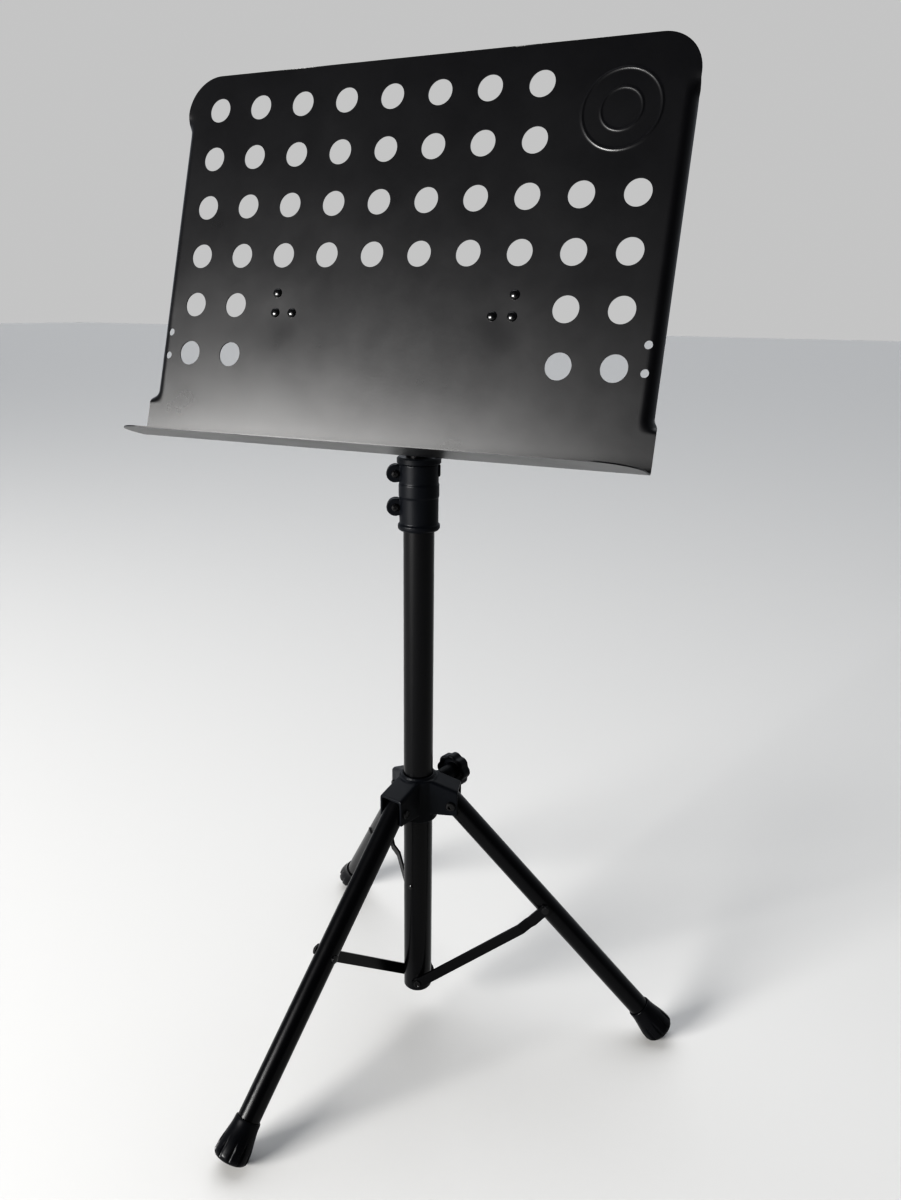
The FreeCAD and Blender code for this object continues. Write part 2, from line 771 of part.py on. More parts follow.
def build_desk_plate():
    body = new_body("desk_plate")
    # Section across X: the sheet with its ledge bent forward at the bottom.
    section = new_sketch(body, "YZ_Plane", "desk_section")
    add_polygon(
        section,
        (
            (size.sheet, 0 - size.desk_bottom),
            (size.sheet, size.desk_top),
            (0, size.desk_top),
            (0, size.sheet - size.desk_bottom),
            (0 - size.ledge_depth, size.sheet - size.desk_bottom),
            (0 - size.ledge_depth, 0 - size.desk_bottom),
        ),
    )
    pad = body.newObject("PartDesign::Pad", "desk_sheet")
    pad.Profile = section
    pad.SideType = "Symmetric"
    pad.Length = (size.desk_half_width * 2).value
    bind(pad, "Length", size.desk_half_width * 2)
    body.Tip = pad

    def low_corner(inner):
        depth = 0.0 if inner else size.sheet.value
        height = -size.desk_bottom.value + (size.sheet.value if inner else 0.0)

        def chooses(edge):
            centre = middle(edge)
            on_line = abs(centre.y - depth) < 0.01 and abs(centre.z - height) < 0.01
            return along(edge, X_AXIS) and on_line

        return chooses

    add_fillet(body, "ledge_bend_inside", size.ledge_bend, low_corner(True))
    add_fillet(body, "ledge_bend_outside", size.ledge_bend + size.sheet, low_corner(False))

    def ledge_corner(edge):
        return along(edge, Z_AXIS) and abs(middle(edge).y + size.ledge_depth.value) < 0.01

    add_fillet(body, "ledge_corners", size.desk_corner, ledge_corner)

    # The strips along the sides that are folded back, and the slimmer part above them.
    bend_start = size.desk_fold_half - size.fold_bend - size.sheet
    strips = new_sketch(body, "XZ_Plane", "side_strips")
    for side in (-1, 1):
        add_polygon(
            strips,
            (
                (bend_start * side, 0 - size.fold_bottom),
                ((size.desk_half_width + 1) * side, 0 - size.fold_bottom - 6),
                ((size.desk_half_width + 1) * side, size.desk_top + 1),
                (size.desk_top_half * side, size.desk_top + 1),
                (size.desk_top_half * side, size.fold_top + 6),
                (bend_start * side, size.fold_top),
            ),
        )
    pocket = body.newObject("PartDesign::Pocket", "side_relief")
    pocket.Profile = strips
    pocket.SideType = "Symmetric"
    pocket.Type = "Length"
    pocket.Length = 20
    body.Tip = pocket
    check_volume_drops(body, pad, pocket)

    def top_corner(edge):
        return along(edge, Y_AXIS) and abs(middle(edge).z - size.desk_top.value) < 0.01

    add_fillet(body, "desk_top_corners", size.desk_corner, top_corner)

    # The folded sides: an angle section with a round bend.
    height = size.fold_top + size.fold_bottom
    folds = new_sketch(body, "XY_Plane", "fold_section", 0 - size.fold_bottom)
    for side in (-1, 1):
        add_polygon(
            folds,
            (
                (bend_start * side, 0),
                (size.desk_fold_half * side, 0),
                (size.desk_fold_half * side, size.fold_depth),
                ((size.desk_fold_half - size.sheet) * side, size.fold_depth),
                ((size.desk_fold_half - size.sheet) * side, size.sheet),
                (bend_start * side, size.sheet),
            ),
        )
    fold_pad = body.newObject("PartDesign::Pad", "folded_sides")
    fold_pad.Profile = folds
    fold_pad.Length = height.value
    bind(fold_pad, "Length", height)
    body.Tip = fold_pad

    def fold_edge(inner):
        reach = size.desk_fold_half.value - (size.sheet.value if inner else 0.0)
        depth = size.sheet.value if inner else 0.0

        def chooses(edge):
            centre = middle(edge)
            on_line = abs(abs(centre.x) - reach) < 0.01 and abs(centre.y - depth) < 0.01
            return along(edge, Z_AXIS) and on_line

        return chooses

    add_fillet(body, "fold_bend_inside", size.fold_bend - 0.05, fold_edge(True))
    add_fillet(body, "fold_bend_outside", size.fold_bend + size.sheet - 0.05, fold_edge(False))

    holes = new_sketch(body, "XZ_Plane", "desk_holes")
    for centre in desk_holes():
        add_circle(holes, centre, size.hole_radius)
    for centre in rivet_places():
        add_circle(holes, centre, size.rivet_radius)
    for side in (-1, 1):
        for drop in (size.clip_hole_upper, size.clip_hole_lower):
            add_circle(holes, (size.clip_hole_reach * side, 0 - drop), size.clip_hole_radius)
    drilled = body.newObject("PartDesign::Pocket", "desk_perforation")
    drilled.Profile = holes
    drilled.SideType = "Symmetric"
    drilled.Type = "Length"
    drilled.Length = 6
    body.Tip = drilled
    check_volume_drops(body, fold_pad, drilled)
    node("desk_plate", body, desk_frame())


def check_volume_drops(body, before, after):
    """A pocket that cuts nothing shows no error, so the two volumes are compared."""
    document.recompute()
    if not after.Shape.Volume < before.Shape.Volume:
        raise RuntimeError(f"{after.Name} of {body.Name} removes nothing")


def build_desk_bracket():
    """The cross bracket riveted to the desk's back, and the yoke in its middle."""
    half = size.bracket_half_width
    centre_height = 0 - (size.rivet_upper + size.rivet_lower) / 2
    thick = size.bracket_sheet
    back = size.sheet
    raised = size.sheet + size.bracket_stand_off
    pad_start = size.rivet_inner - 10.0
    pad_end = size.rivet_outer + 10.0
    rise_end = pad_start - size.bracket_stand_off
    front_line = [
        (0 - pad_end, back),
        (0 - pad_start, back),
        (0 - rise_end, raised),
        (rise_end, raised),
        (pad_start, back),
        (pad_end, back),
    ]
    back_line = [(x, y + thick) for x, y in reversed(front_line)]
    strap = new_body("bracket_strap")
    outline = new_sketch(strap, "XY_Plane", "bracket_section", centre_height - half)
    add_polygon(outline, front_line + back_line)
    pad = strap.newObject("PartDesign::Pad", "bracket_pad")
    pad.Profile = outline
    pad.Length = (half * 2).value
    bind(pad, "Length", half * 2)
    strap.Tip = pad

    def end_corner(edge):
        return along(edge, Y_AXIS) and abs(abs(middle(edge).x) - pad_end.value) < 0.01

    add_fillet(strap, "bracket_corners", 7.0, end_corner)
    holes = []
    for number, (x, z) in enumerate(rivet_places()):
        place = at(x.value, 0, z.value).multiply(LAY_TO_PLUS_Y)
        holes.append(cylinder(f"bracket_hole_{number}", size.rivet_radius, 20, place))
    yoke_pins = []
    for number, side in enumerate((-1, 1)):
        for level, lift in enumerate((-9.0, 9.0)):
            place = at(side * 18.0, 0, centre_height.value + lift).multiply(LAY_TO_PLUS_Y)
            name = f"yoke_hole_{number}_{level}"
            holes.append(cylinder(name, 2.0, 40, place))
            yoke_pins.append(place)
    bracket = cut("desk_bracket", strap, holes)
    node("desk_bracket", bracket, desk_frame())

    build_yoke(raised + thick, centre_height, yoke_pins, raised)

    rivets = []
    for number, (x, z) in enumerate(rivet_places()):
        pin = turned_body(
            f"desk_rivet_{number}",
            (
                (0, -2.3),
                (1.6, -2.2),
                (3.1, -1.5),
                (size.rivet_head_radius - 0.2, -0.8),
                (size.rivet_head_radius, 0),
                (size.rivet_radius, 0),
                (size.rivet_radius, size.sheet + thick),
                (3.6, size.sheet + thick),
                (3.2, size.sheet + thick + 1.2),
                (0, size.sheet + thick + 1.4),
            ),
        )
        pin.Placement = desk_frame().multiply(at(x.value, 0, z.value)).multiply(LAY_TO_PLUS_Y)
        rivets.append(pin)
    node("desk_rivets", group("desk_rivets", rivets))


def build_yoke(face, centre_height, pin_places, strap_face):
    """The U-shaped yoke on the bracket: two flanges, a base and two ears on the tilt bolt."""
    axis_back, axis_height = tilt_axis_in_desk()
    sheet_size = size.yoke_sheet
    ear_inner = size.ear_gap
    ear_outer = size.ear_gap + sheet_size
    # Section across the height: a hat whose two sides are the ears.
    parts = []
    for side in (-1, 1):
        ear = plate_body(
            f"yoke_ear_{'left' if side < 0 else 'right'}",
            "YZ_Plane",
            (
                (face, centre_height - 14.0),
                (axis_back, axis_height - 11.0),
                (axis_back, axis_height + 11.0),
                (face, centre_height + 14.0),
            ),
            sheet_size,
        )
        ear.Placement = at(side * (ear_inner + sheet_size / 2).value)
        parts.append(ear)
        round_end = cylinder(
            f"ear_end_{side + 1}",
            11.0,
            sheet_size,
            at(min(side * ear_inner.value, side * ear_outer.value), axis_back, axis_height).multiply(
                LAY_TO_PLUS_X
            ),
        )
        parts.append(round_end)
        flange = document.addObject("Part::Box", f"yoke_flange_{side + 1}")
        bind(flange, "Length", 16.0 + sheet_size)
        bind(flange, "Width", sheet_size)
        bind(flange, "Height", 28.0)
        start = ear_inner.value if side > 0 else -(ear_inner.value + 16.0 + sheet_size.value)
        flange.Placement = at(start, face.value, centre_height.value - 14.0)
        parts.append(flange)
    base = document.addObject("Part::Box", "yoke_base")
    bind(base, "Length", ear_outer * 2)
    bind(base, "Width", sheet_size)
    bind(base, "Height", 28.0)
    base.Placement = at(-ear_outer.value, face.value, centre_height.value - 14.0)
    parts.append(base)
    bolt_hole = cylinder(
        "yoke_bolt_hole",
        size.tilt_pin_radius,
        60,
        at(-30, axis_back, axis_height).multiply(LAY_TO_PLUS_X),
    )
    pin_holes = []
    pins = []
    for number, place in enumerate(pin_places):
        pin_holes.append(cylinder(f"yoke_pin_hole_{number}", 2.0, 40, place))
        pin = turned_body(
            f"yoke_rivet_{number}",
            (
                (0, strap_face - 1.4),
                (3.2, strap_face - 1.2),
                (3.4, strap_face),
                (2.0, strap_face),
                (2.0, face + sheet_size),
                (3.4, face + sheet_size),
                (3.2, face + sheet_size + 1.2),
                (0, face + sheet_size + 1.4),
            ),
        )
        pin.Placement = desk_frame().multiply(place)
        pins.append(pin)
    yoke = cut("tilt_yoke", fuse("yoke_solid", parts), [bolt_hole, *pin_holes])
    node("tilt_yoke", yoke, desk_frame())
    node("yoke_rivets", group("yoke_rivets", pins))
    build_tilt_bolt(ear_outer)


def build_tilt_bolt(ear_outer):
    """The carriage bolt through yoke and tongue, with its washer and star knob."""
    length_out = ear_outer + 1.6 + 9.5
    bolt = turned_body(
        "tilt_bolt",
        (
            (0, 0 - ear_outer - 4.0),
            (4.5, 0 - ear_outer - 3.4),
            (7.6, 0 - ear_outer - 1.6),
            (8.2, 0 - ear_outer),
            (size.tilt_pin_radius, 0 - ear_outer),
            (size.tilt_pin_radius, length_out - 0.8),
            (size.tilt_pin_radius - 0.8, length_out),
            (0, length_out),
        ),
    )
    frame = COLUMN.multiply(at(0, -size.tilt_reach.value, size.tilt_height.value))
    node("tilt_bolt", bolt, frame.multiply(LAY_TO_PLUS_X))
    disc = turned_body(
        "knob_washer",
        (
            (size.tilt_pin_radius, ear_outer),
            (9.0, ear_outer),
            (9.0, ear_outer + 1.6),
            (size.tilt_pin_radius, ear_outer + 1.6),
        ),
    )
    node("knob_washer", disc, frame.multiply(LAY_TO_PLUS_X))
    knob = star_knob("tilt_knob", size.tilt_pin_radius + size.running_gap)
    place = frame.multiply(at((ear_outer + 1.8).value)).multiply(LAY_TO_PLUS_X)
    node("tilt_knob", knob, place)


# ---------------------------------------------------------------- hub


def leg_azimuths():
    """The three legs in the order front, right, back."""
    return [size.front_azimuth.value + step for step in (0.0, 120.0, 240.0)]


def build_hub():
    barrel = cylinder(
        "hub_barrel",
        size.hub_radius,
        size.roof_inner - size.hub_bottom,
        at(0, 0, size.hub_bottom.value),
    )
    lip = cylinder(
        "hub_lip",
        size.hub_lip_radius,
        size.hub_top - size.hub_bottom,
        at(0, 0, size.hub_bottom.value),
    )
    boss = cylinder(
        "hub_boss",
        size.boss_radius,
        size.boss_end,
        turn_about(Z_AXIS, knob_azimuth()).multiply(
            at(0, 0, size.knob_height.value).multiply(LAY_TO_PLUS_X)
        ),
    )
    solids = [barrel, lip, boss]
    hollows = []
    for number, azimuth in enumerate(leg_azimuths()):
        turn = turn_about(Z_AXIS, azimuth)
        block = plate_body(
            f"socket_block_{number}",
            "XZ_Plane",
            (
                (0, size.cheek_bottom),
                (size.cheek_end, size.cheek_bottom),
                (size.cheek_end, size.roof_outer),
                (size.hub_lip_radius - 1.0, size.roof_inner),
                (0, size.roof_inner),
            ),
            size.cheek_half * 2,
        )

        def roof_edge(edge):
            centre = middle(edge)
            sloping = isinstance(edge.Curve, Part.Line) and abs(edge.Curve.Direction.z) > 0.2
            return sloping and abs(edge.Curve.Direction.x) > 0.2 and centre.z > 270

        add_fillet(block, f"socket_roof_{number}", 3.5, roof_edge)
        block.Placement = turn
        solids.append(block)
        hollow = plate_body(
            f"socket_hollow_{number}",
            "XZ_Plane",
            (
                (size.hub_radius + 2.6, size.cheek_bottom - 12.0),
                (size.cheek_end + 10.0, size.cheek_bottom - 12.0),
                (size.cheek_end + 10.0, size.roof_outer - size.roof_sheet - 3.8),
                (size.cheek_end, size.roof_outer - size.roof_sheet),
                (size.hub_radius + 2.6, size.roof_inner - size.roof_sheet - 3.2),
            ),
            size.socket_half * 2,
        )
        hollow.Placement = turn
        hollows.append(hollow)
        pivot = turn.multiply(at(size.hub_pivot_radius.value, 20, size.hub_pivot_height.value))
        hollows.append(
            cylinder(
                f"pivot_hole_{number}",
                size.pivot_pin_radius,
                40,
                pivot.multiply(LAY_TO_MINUS_Y),
            )
        )
    bore = cylinder(
        "hub_bore",
        size.tube_radius + size.running_gap,
        60,
        at(0, 0, size.hub_bottom.value - 5),
    )
    stud_hole = cylinder(
        "hub_stud_hole",
        size.stud_radius + size.running_gap,
        50,
        turn_about(Z_AXIS, knob_azimuth()).multiply(
            at(0, 0, size.knob_height.value).multiply(LAY_TO_PLUS_X)
        ),
    )
    hub = cut("hub_body", fuse("hub_solid", solids), [bore, stud_hole, *hollows])
    node("hub_body", hub, COLUMN)


def knob_azimuth():
    """The clamp knob is opposite the front leg."""
    return size.front_azimuth.value + 180.0


def build_pivot_bolts():
    bolts = []
    nuts = []
    for number, azimuth in enumerate(leg_azimuths()):
        bolt = turned_body(
            f"pivot_bolt_{number}",
            (
                (0, 0 - size.cheek_half - 1.6),
                (size.pivot_pin_radius, 0 - size.cheek_half - 1.6),
                (size.pivot_pin_radius, size.cheek_half),
                (4.9, size.cheek_half),
                (4.9, size.cheek_half + 1.8),
                (4.1, size.cheek_half + 2.6),
                (2.2, size.cheek_half + 3.0),
                (1.8, size.cheek_half + 1.2),
                (0, size.cheek_half + 1.2),
            ),
        )
        pivot = radial(azimuth).multiply(
            at(size.hub_pivot_radius.value, 0, size.hub_pivot_height.value)
        )
        bolt.Placement = pivot.multiply(LAY_TO_MINUS_Y)
        bolts.append(bolt)
        nut = turned_body(
            f"pivot_nut_{number}",
            (
                (size.pivot_pin_radius, 0),
                (4.6, 0),
                (4.6, 1.3),
                (4.0, 2.0),
                (size.pivot_pin_radius, 2.0),
            ),
        )
        nut.Placement = pivot.multiply(at(0, size.cheek_half.value)).multiply(LAY_TO_PLUS_Y)
        nuts.append(nut)
    node("leg_pivot_bolts", group("leg_pivot_bolts", bolts))
    node("leg_pivot_nuts", group("leg_pivot_nuts", nuts))


def build_hub_knob():
    frame = radial(knob_azimuth()).multiply(at(0, 0, size.knob_height.value))
    stud = turned_body(
        "hub_clamp_screw",
        (
            (0, size.tube_radius + 0.3),
            (size.stud_radius - 1.0, size.tube_radius + 0.3),
            (size.stud_radius, size.tube_radius + 1.3),
            (size.stud_radius, size.knob_inner + size.knob_thickness - 3.0),
            (0, size.knob_inner + size.knob_thickness - 3.0),
        ),
    )
    node("hub_clamp_screw", stud, frame.multiply(LAY_TO_PLUS_X))
    collar = turned_body(
        "hub_knob_collar",
        (
            (size.stud_radius, size.knob_inner - size.knob_neck),
            (6.6, size.knob_inner - size.knob_neck),
            (7.2, size.knob_inner - size.knob_neck + 0.8),
            (7.4, size.knob_inner - 4.0),
            (9.0, size.knob_inner),
            (size.stud_radius, size.knob_inner),
        ),
    )
    knob = star_knob("hub_knob_star", size.stud_radius)
    knob.Placement = at(0, 0, size.knob_inner.value)
    whole = fuse("hub_knob", [collar, knob])
    node("hub_knob", whole, frame.multiply(LAY_TO_PLUS_X))


# ---------------------------------------------------------------- legs and braces


def leg_frame(azimuth):
    """Frame at a leg's pivot: Z runs down the leg, Y is the pivot's axis."""
    pivot = at(size.hub_pivot_radius.value, 0, size.hub_pivot_height.value)
    lean = turn_about(Y_AXIS, 180.0 - size.leg_spread.value)
    return radial(azimuth).multiply(pivot).multiply(lean)


def build_leg(name, azimuth):
    frame = leg_frame(azimuth)
    length = size.leg_end + size.leg_head
    outer = cylinder(name + "_blank", size.leg_radius, length, at(0, 0, -size.leg_head.value))
    inside = cylinder(
        name + "_inside", size.leg_radius - size.leg_wall, length, at(0, 0, -size.leg_head.value)
    )
    pin_radius = size.pivot_pin_radius + size.running_gap
    pivot_hole = cylinder(name + "_pivot_hole", pin_radius, 40, at(0, 20).multiply(LAY_TO_MINUS_Y))
    rivet_hole = cylinder(
        name + "_rivet_hole",
        size.brace_pin_radius,
        40,
        at(0, 20, size.brace_on_leg.value).multiply(LAY_TO_MINUS_Y),
    )
    tube = cut(name, outer, [inside, pivot_hole, rivet_hole])
    node(name, tube, frame)

    plug_body = turned_body(
        name + "_plug_solid",
        (
            (0, 0 - size.leg_head - 2.5),
            (size.leg_radius - 3.5, 0 - size.leg_head - 2.5),
            (size.leg_radius, 0 - size.leg_head),
            (size.leg_radius - size.leg_wall, 0 - size.leg_head),
            (size.leg_radius - size.leg_wall, 18.0),
            (0, 18.0),
        ),
    )
    plug_hole = cylinder(name + "_plug_hole", pin_radius, 40, at(0, 20).multiply(LAY_TO_MINUS_Y))
    node(name + "_end_plug", cut(name + "_end_plug", plug_body, [plug_hole]), frame)

    build_foot(name + "_foot", frame)

    through = turned_body(
        name + "_rivet",
        (
            (0, 0 - size.leg_radius + 0.15),
            (size.brace_pin_radius, 0 - size.leg_radius + 0.15),
            (size.brace_pin_radius, size.leg_radius),
            (size.brace_head_radius, size.leg_radius),
            (size.brace_head_radius * 0.9, size.leg_radius + 1.2),
            (size.brace_head_radius * 0.5, size.leg_radius + 1.7),
            (0, size.leg_radius + 1.8),
        ),
    )
    place = frame.multiply(at(0, 0, size.brace_on_leg.value)).multiply(LAY_TO_PLUS_Y)
    node(name + "_rivet", through, place)


def build_foot(name, frame):
    """The flared rubber foot: a grooved cone over the tube's end, worn flat on the floor."""
    groove_count = 10
    cone = turned_body(
        name + "_cone",
        (
            (0, size.leg_end),
            (size.leg_radius, size.leg_end),
            (size.leg_radius, size.foot_start),
            (size.foot_neck_radius - 0.6, size.foot_start),
            (size.foot_neck_radius, size.foot_start + 0.9),
            (size.foot_neck_radius + 0.3, size.foot_start + 8.0),
            (size.foot_radius - 1.3, size.foot_start + 22.0),
            (size.foot_radius, size.foot_start + 31.0),
            (size.foot_radius, size.foot_end - 5.5),
            (size.foot_radius - 0.8, size.foot_end - 2.7),
            (size.foot_radius - 2.7, size.foot_end - 0.8),
            (size.foot_radius - 5.5, size.foot_end),
            (0, size.foot_end),
        ),
    )
    cone.Placement = frame
    tools = []
    groove_start = size.foot_start.value + 15.0
    for number in range(groove_count):
        turn = turn_about(Z_AXIS, 360.0 * (number + 0.5) / groove_count)
        lean = turn_about(Y_AXIS, 7.5)
        place = frame.multiply(turn).multiply(
            at(size.foot_neck_radius.value + 3.1, 0, groove_start)
        )
        tools.append(
            cylinder(f"{name}_groove_{number}", 1.7, size.foot_end, place.multiply(lean))
        )
    floor = document.addObject("Part::Box", name + "_floor")
    floor.Length = 800
    floor.Width = 800
    floor.Height = 40
    floor.Placement = at(-400, -400, -40)
    node(name, cut(name, cone, [*tools, floor]))


def brace_points():
    """Lower and upper pin of a brace in its leg's frame, as (radial reach, height)."""
    spread = math.radians(size.leg_spread.value)
    reach = size.hub_pivot_radius.value + size.brace_on_leg.value * math.sin(spread)
    height = size.hub_pivot_height.value - size.brace_on_leg.value * math.cos(spread)
    return (size.brace_pin_reach.value, size.brace_pin_height.value), (reach, height)


def build_brace(name, azimuth):
    """A flat strap from the column to a leg, joggled sideways and kinked near the leg."""
    (low_reach, low_height), (high_reach, high_height) = brace_points()
    length = math.hypot(high_reach - low_reach, high_height - low_height)
    slope = math.degrees(math.atan2(high_height - low_height, high_reach - low_reach))
    half = size.brace_half_width
    end = Size(length)
    # Outline along the line between the pins; the kink drops below it near the leg.
    kink = end - 20.0
    drop = 3.4
    outline = plate_body(
        name + "_outline",
        "XZ_Plane",
        (
            (-3.4, 0 - half),
            (kink + 1.5, 0 - half - drop),
            (end + 3.0, 0 - half + 1.0),
            (end + half - 0.8, -2.4),
            (end + half - 0.6, 2.2),
            (end + 2.0, half),
            (end - 2.4, half),
            (kink - 1.5, half - drop),
            (-3.4, half),
            (-half.value, 2.4),
            (-half.value, -2.4),
        ),
        60,
        holes=(
            ((0, 0), size.brace_pin_radius + size.running_gap),
            ((end, 0), size.brace_pin_radius),
        ),
    )
    near = size.brace_at_column
    far = size.brace_at_leg
    thick = size.brace_sheet
    inner_line = [(-20, 0 - near), (end - 34.0, 0 - near), (end - 24.0, 0 - far), (end + 20, 0 - far)]
    outer_line = [(x, y - thick) for x, y in reversed(inner_line)]
    joggle = new_body(name + "_joggle")
    section = new_sketch(joggle, "XY_Plane", name + "_section")
    add_polygon(section, inner_line + outer_line)
    pad = joggle.newObject("PartDesign::Pad", name + "_pad")
    pad.Profile = section
    pad.SideType = "Symmetric"
    pad.Length = 40
    joggle.Tip = pad
    strap = document.addObject("Part::Common", name)
    strap.Base = outline
    strap.Tool = joggle
    low = at(low_reach, 0, low_height).multiply(turn_about(Y_AXIS, -slope))
    frame = radial(azimuth).multiply(low)
    node(name, strap, frame)

    face = far + thick
    pin = turned_body(
        name + "_rivet",
        (
            (0, size.leg_radius + 0.2),
            (size.brace_pin_radius, size.leg_radius + 0.2),
            (size.brace_pin_radius, face),
            (size.brace_head_radius, face),
            (size.brace_head_radius * 0.9, face + 1.2),
            (size.brace_head_radius * 0.5, face + 1.7),
            (0, face + 1.8),
        ),
    )
    node(name + "_rivet", pin, frame.multiply(at(length)).multiply(LAY_TO_MINUS_Y))


# ---------------------------------------------------------------- assembly


def build_stand():
    build_column()
    build_brace_pins()
    build_clutch()
    build_mast()
    build_tilt_head()
    build_desk_plate()
    build_desk_bracket()
    build_hub()
    build_pivot_bolts()
    build_hub_knob()
    for side, azimuth in zip(("front", "right", "back"), leg_azimuths()):
        build_leg("leg_" + side, azimuth)
        build_brace("brace_" + side, azimuth)
    document.recompute()


def check_and_export():
    failed = [
        thing.Name
        for thing in document.Objects
        if "Invalid" in thing.State or "Error" in thing.State
    ]
    for thing in NODES:
        if thing.Shape.isNull() or not thing.Shape.isValid() or not thing.Shape.Solids:
            failed.append(thing.Label)
    if failed:
        raise RuntimeError("not built: " + ", ".join(failed))
    os.makedirs("parts", exist_ok=True)
    for thing in NODES:
        thing.Shape.exportStep(os.path.join("parts", thing.Label + ".step"))
        print(thing.Label, len(thing.Shape.Solids), round(thing.Shape.Volume))
    whole = Part.makeCompound([thing.Shape for thing in NODES]).BoundBox
    low = (whole.XMin, whole.YMin, whole.ZMin)
    high = (whole.XMax, whole.YMax, whole.ZMax)
    print("box", [round(value, 2) for value in low + high])


build_stand()
check_and_export()
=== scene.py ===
import json
import math

import bmesh
import bpy
from mathutils import Matrix, Vector, geometry, noise


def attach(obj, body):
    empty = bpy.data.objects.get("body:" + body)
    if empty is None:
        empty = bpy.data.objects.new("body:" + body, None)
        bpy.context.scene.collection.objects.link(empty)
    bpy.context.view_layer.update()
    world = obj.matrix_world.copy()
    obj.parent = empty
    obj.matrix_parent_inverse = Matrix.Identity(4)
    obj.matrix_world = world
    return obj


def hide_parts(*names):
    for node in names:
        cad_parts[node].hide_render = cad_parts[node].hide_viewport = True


# A folding music stand in satin black: perforated desk, telescopic column and tripod.
# Metres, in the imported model's frame: +Z up, the player on the -Y side, +X to their right.

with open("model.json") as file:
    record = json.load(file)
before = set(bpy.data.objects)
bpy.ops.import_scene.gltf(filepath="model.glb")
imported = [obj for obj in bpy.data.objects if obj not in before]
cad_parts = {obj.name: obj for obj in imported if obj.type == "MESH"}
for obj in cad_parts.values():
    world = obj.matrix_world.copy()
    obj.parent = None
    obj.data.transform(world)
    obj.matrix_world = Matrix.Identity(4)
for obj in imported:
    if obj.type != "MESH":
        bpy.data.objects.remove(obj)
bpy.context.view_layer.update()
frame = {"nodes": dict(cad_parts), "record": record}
NODES = frame["nodes"]
MOUNTS = {mount["name"]: mount for mount in frame["record"]["mounts"]}
JOINTS = {joint["name"]: joint for joint in frame["record"]["behaviour"]["joints"]}
SLOT_OF = {part["node"]: part["material_slot"] for part in frame["record"]["subparts"]}
SIDES = ("front", "right", "back")
X_AXIS = Vector((1, 0, 0))
UP = Vector((0, 0, 1))
QUARTER_TURN = math.pi / 2


# ---------------------------------------------------------------- materials


def new_material(name, colour, roughness, metallic=0.0, specular=0.5):
    """A material with its Principled shader, ready for detail nodes."""
    material = bpy.data.materials.new(name)
    material.use_nodes = True
    shader = material.node_tree.nodes["Principled BSDF"]
    shader.inputs["Base Color"].default_value = (*colour, 1.0)
    shader.inputs["Roughness"].default_value = roughness
    shader.inputs["Metallic"].default_value = metallic
    shader.inputs["Specular IOR Level"].default_value = specular
    return material, material.node_tree, shader


def add_node(tree, kind, **settings):
    node = tree.nodes.new(kind)
    for name, value in settings.items():
        setattr(node, name, value)
    return node


def noise_at(tree, scale, detail=3.0, roughness=0.5):
    """Noise in object space, scale in cycles per metre."""
    place = add_node(tree, "ShaderNodeTexCoord")
    texture = add_node(tree, "ShaderNodeTexNoise")
    texture.inputs["Scale"].default_value = scale
    texture.inputs["Detail"].default_value = detail
    texture.inputs["Roughness"].default_value = roughness
    tree.links.new(place.outputs["Object"], texture.inputs["Vector"])
    return texture.outputs["Fac"]


def spread(tree, source, low, high, start=0.3, end=0.7):
    """Maps a signal's stretch from start to end onto low to high."""
    ramp = add_node(tree, "ShaderNodeMapRange")
    ramp.inputs["From Min"].default_value = start
    ramp.inputs["From Max"].default_value = end
    ramp.inputs["To Min"].default_value = low
    ramp.inputs["To Max"].default_value = high
    tree.links.new(source, ramp.inputs["Value"])
    return ramp.outputs["Result"]


def vary_colour(tree, shader, signal, colour, gain):
    """Mixes the colour with a paler one, gain times as bright, where the signal is high."""
    pale = tuple(c * gain + 0.001 for c in colour)
    mix = add_node(tree, "ShaderNodeMix", data_type="RGBA")
    mix.inputs["A"].default_value = (*colour, 1.0)
    mix.inputs["B"].default_value = (*pale, 1.0)
    tree.links.new(signal, mix.inputs["Factor"])
    tree.links.new(mix.outputs["Result"], shader.inputs["Base Color"])


def add_bump(tree, shader, *signals):
    """Chains bumps, each (signal, strength, height in metres)."""
    previous = None
    for signal, strength, height in signals:
        bump = add_node(tree, "ShaderNodeBump")
        bump.inputs["Strength"].default_value = strength
        bump.inputs["Distance"].default_value = height
        tree.links.new(signal, bump.inputs["Height"])
        if previous is not None:
            tree.links.new(previous, bump.inputs["Normal"])
        previous = bump.outputs["Normal"]
    tree.links.new(previous, shader.inputs["Normal"])


def powder_coat(name, colour, low, high, peel, specular):
    """Satin powder coating: roughness from low to high, orange peel and a little dust."""
    material, tree, shader = new_material(name, colour, low, specular=specular)
    smudges = noise_at(tree, scale=14.0, detail=4.0, roughness=0.6)
    tree.links.new(spread(tree, smudges, low, high), shader.inputs["Roughness"])
    dust = noise_at(tree, scale=260.0, detail=5.0, roughness=0.7)
    vary_colour(tree, shader, spread(tree, dust, 0.0, 0.45, start=0.42, end=0.85), colour, 1.6)
    coarse = noise_at(tree, scale=420.0, detail=2.0)
    fine = noise_at(tree, scale=1900.0, detail=2.0)
    add_bump(tree, shader, (coarse, peel, 0.0004), (fine, peel * 0.5, 0.0001))
    return material


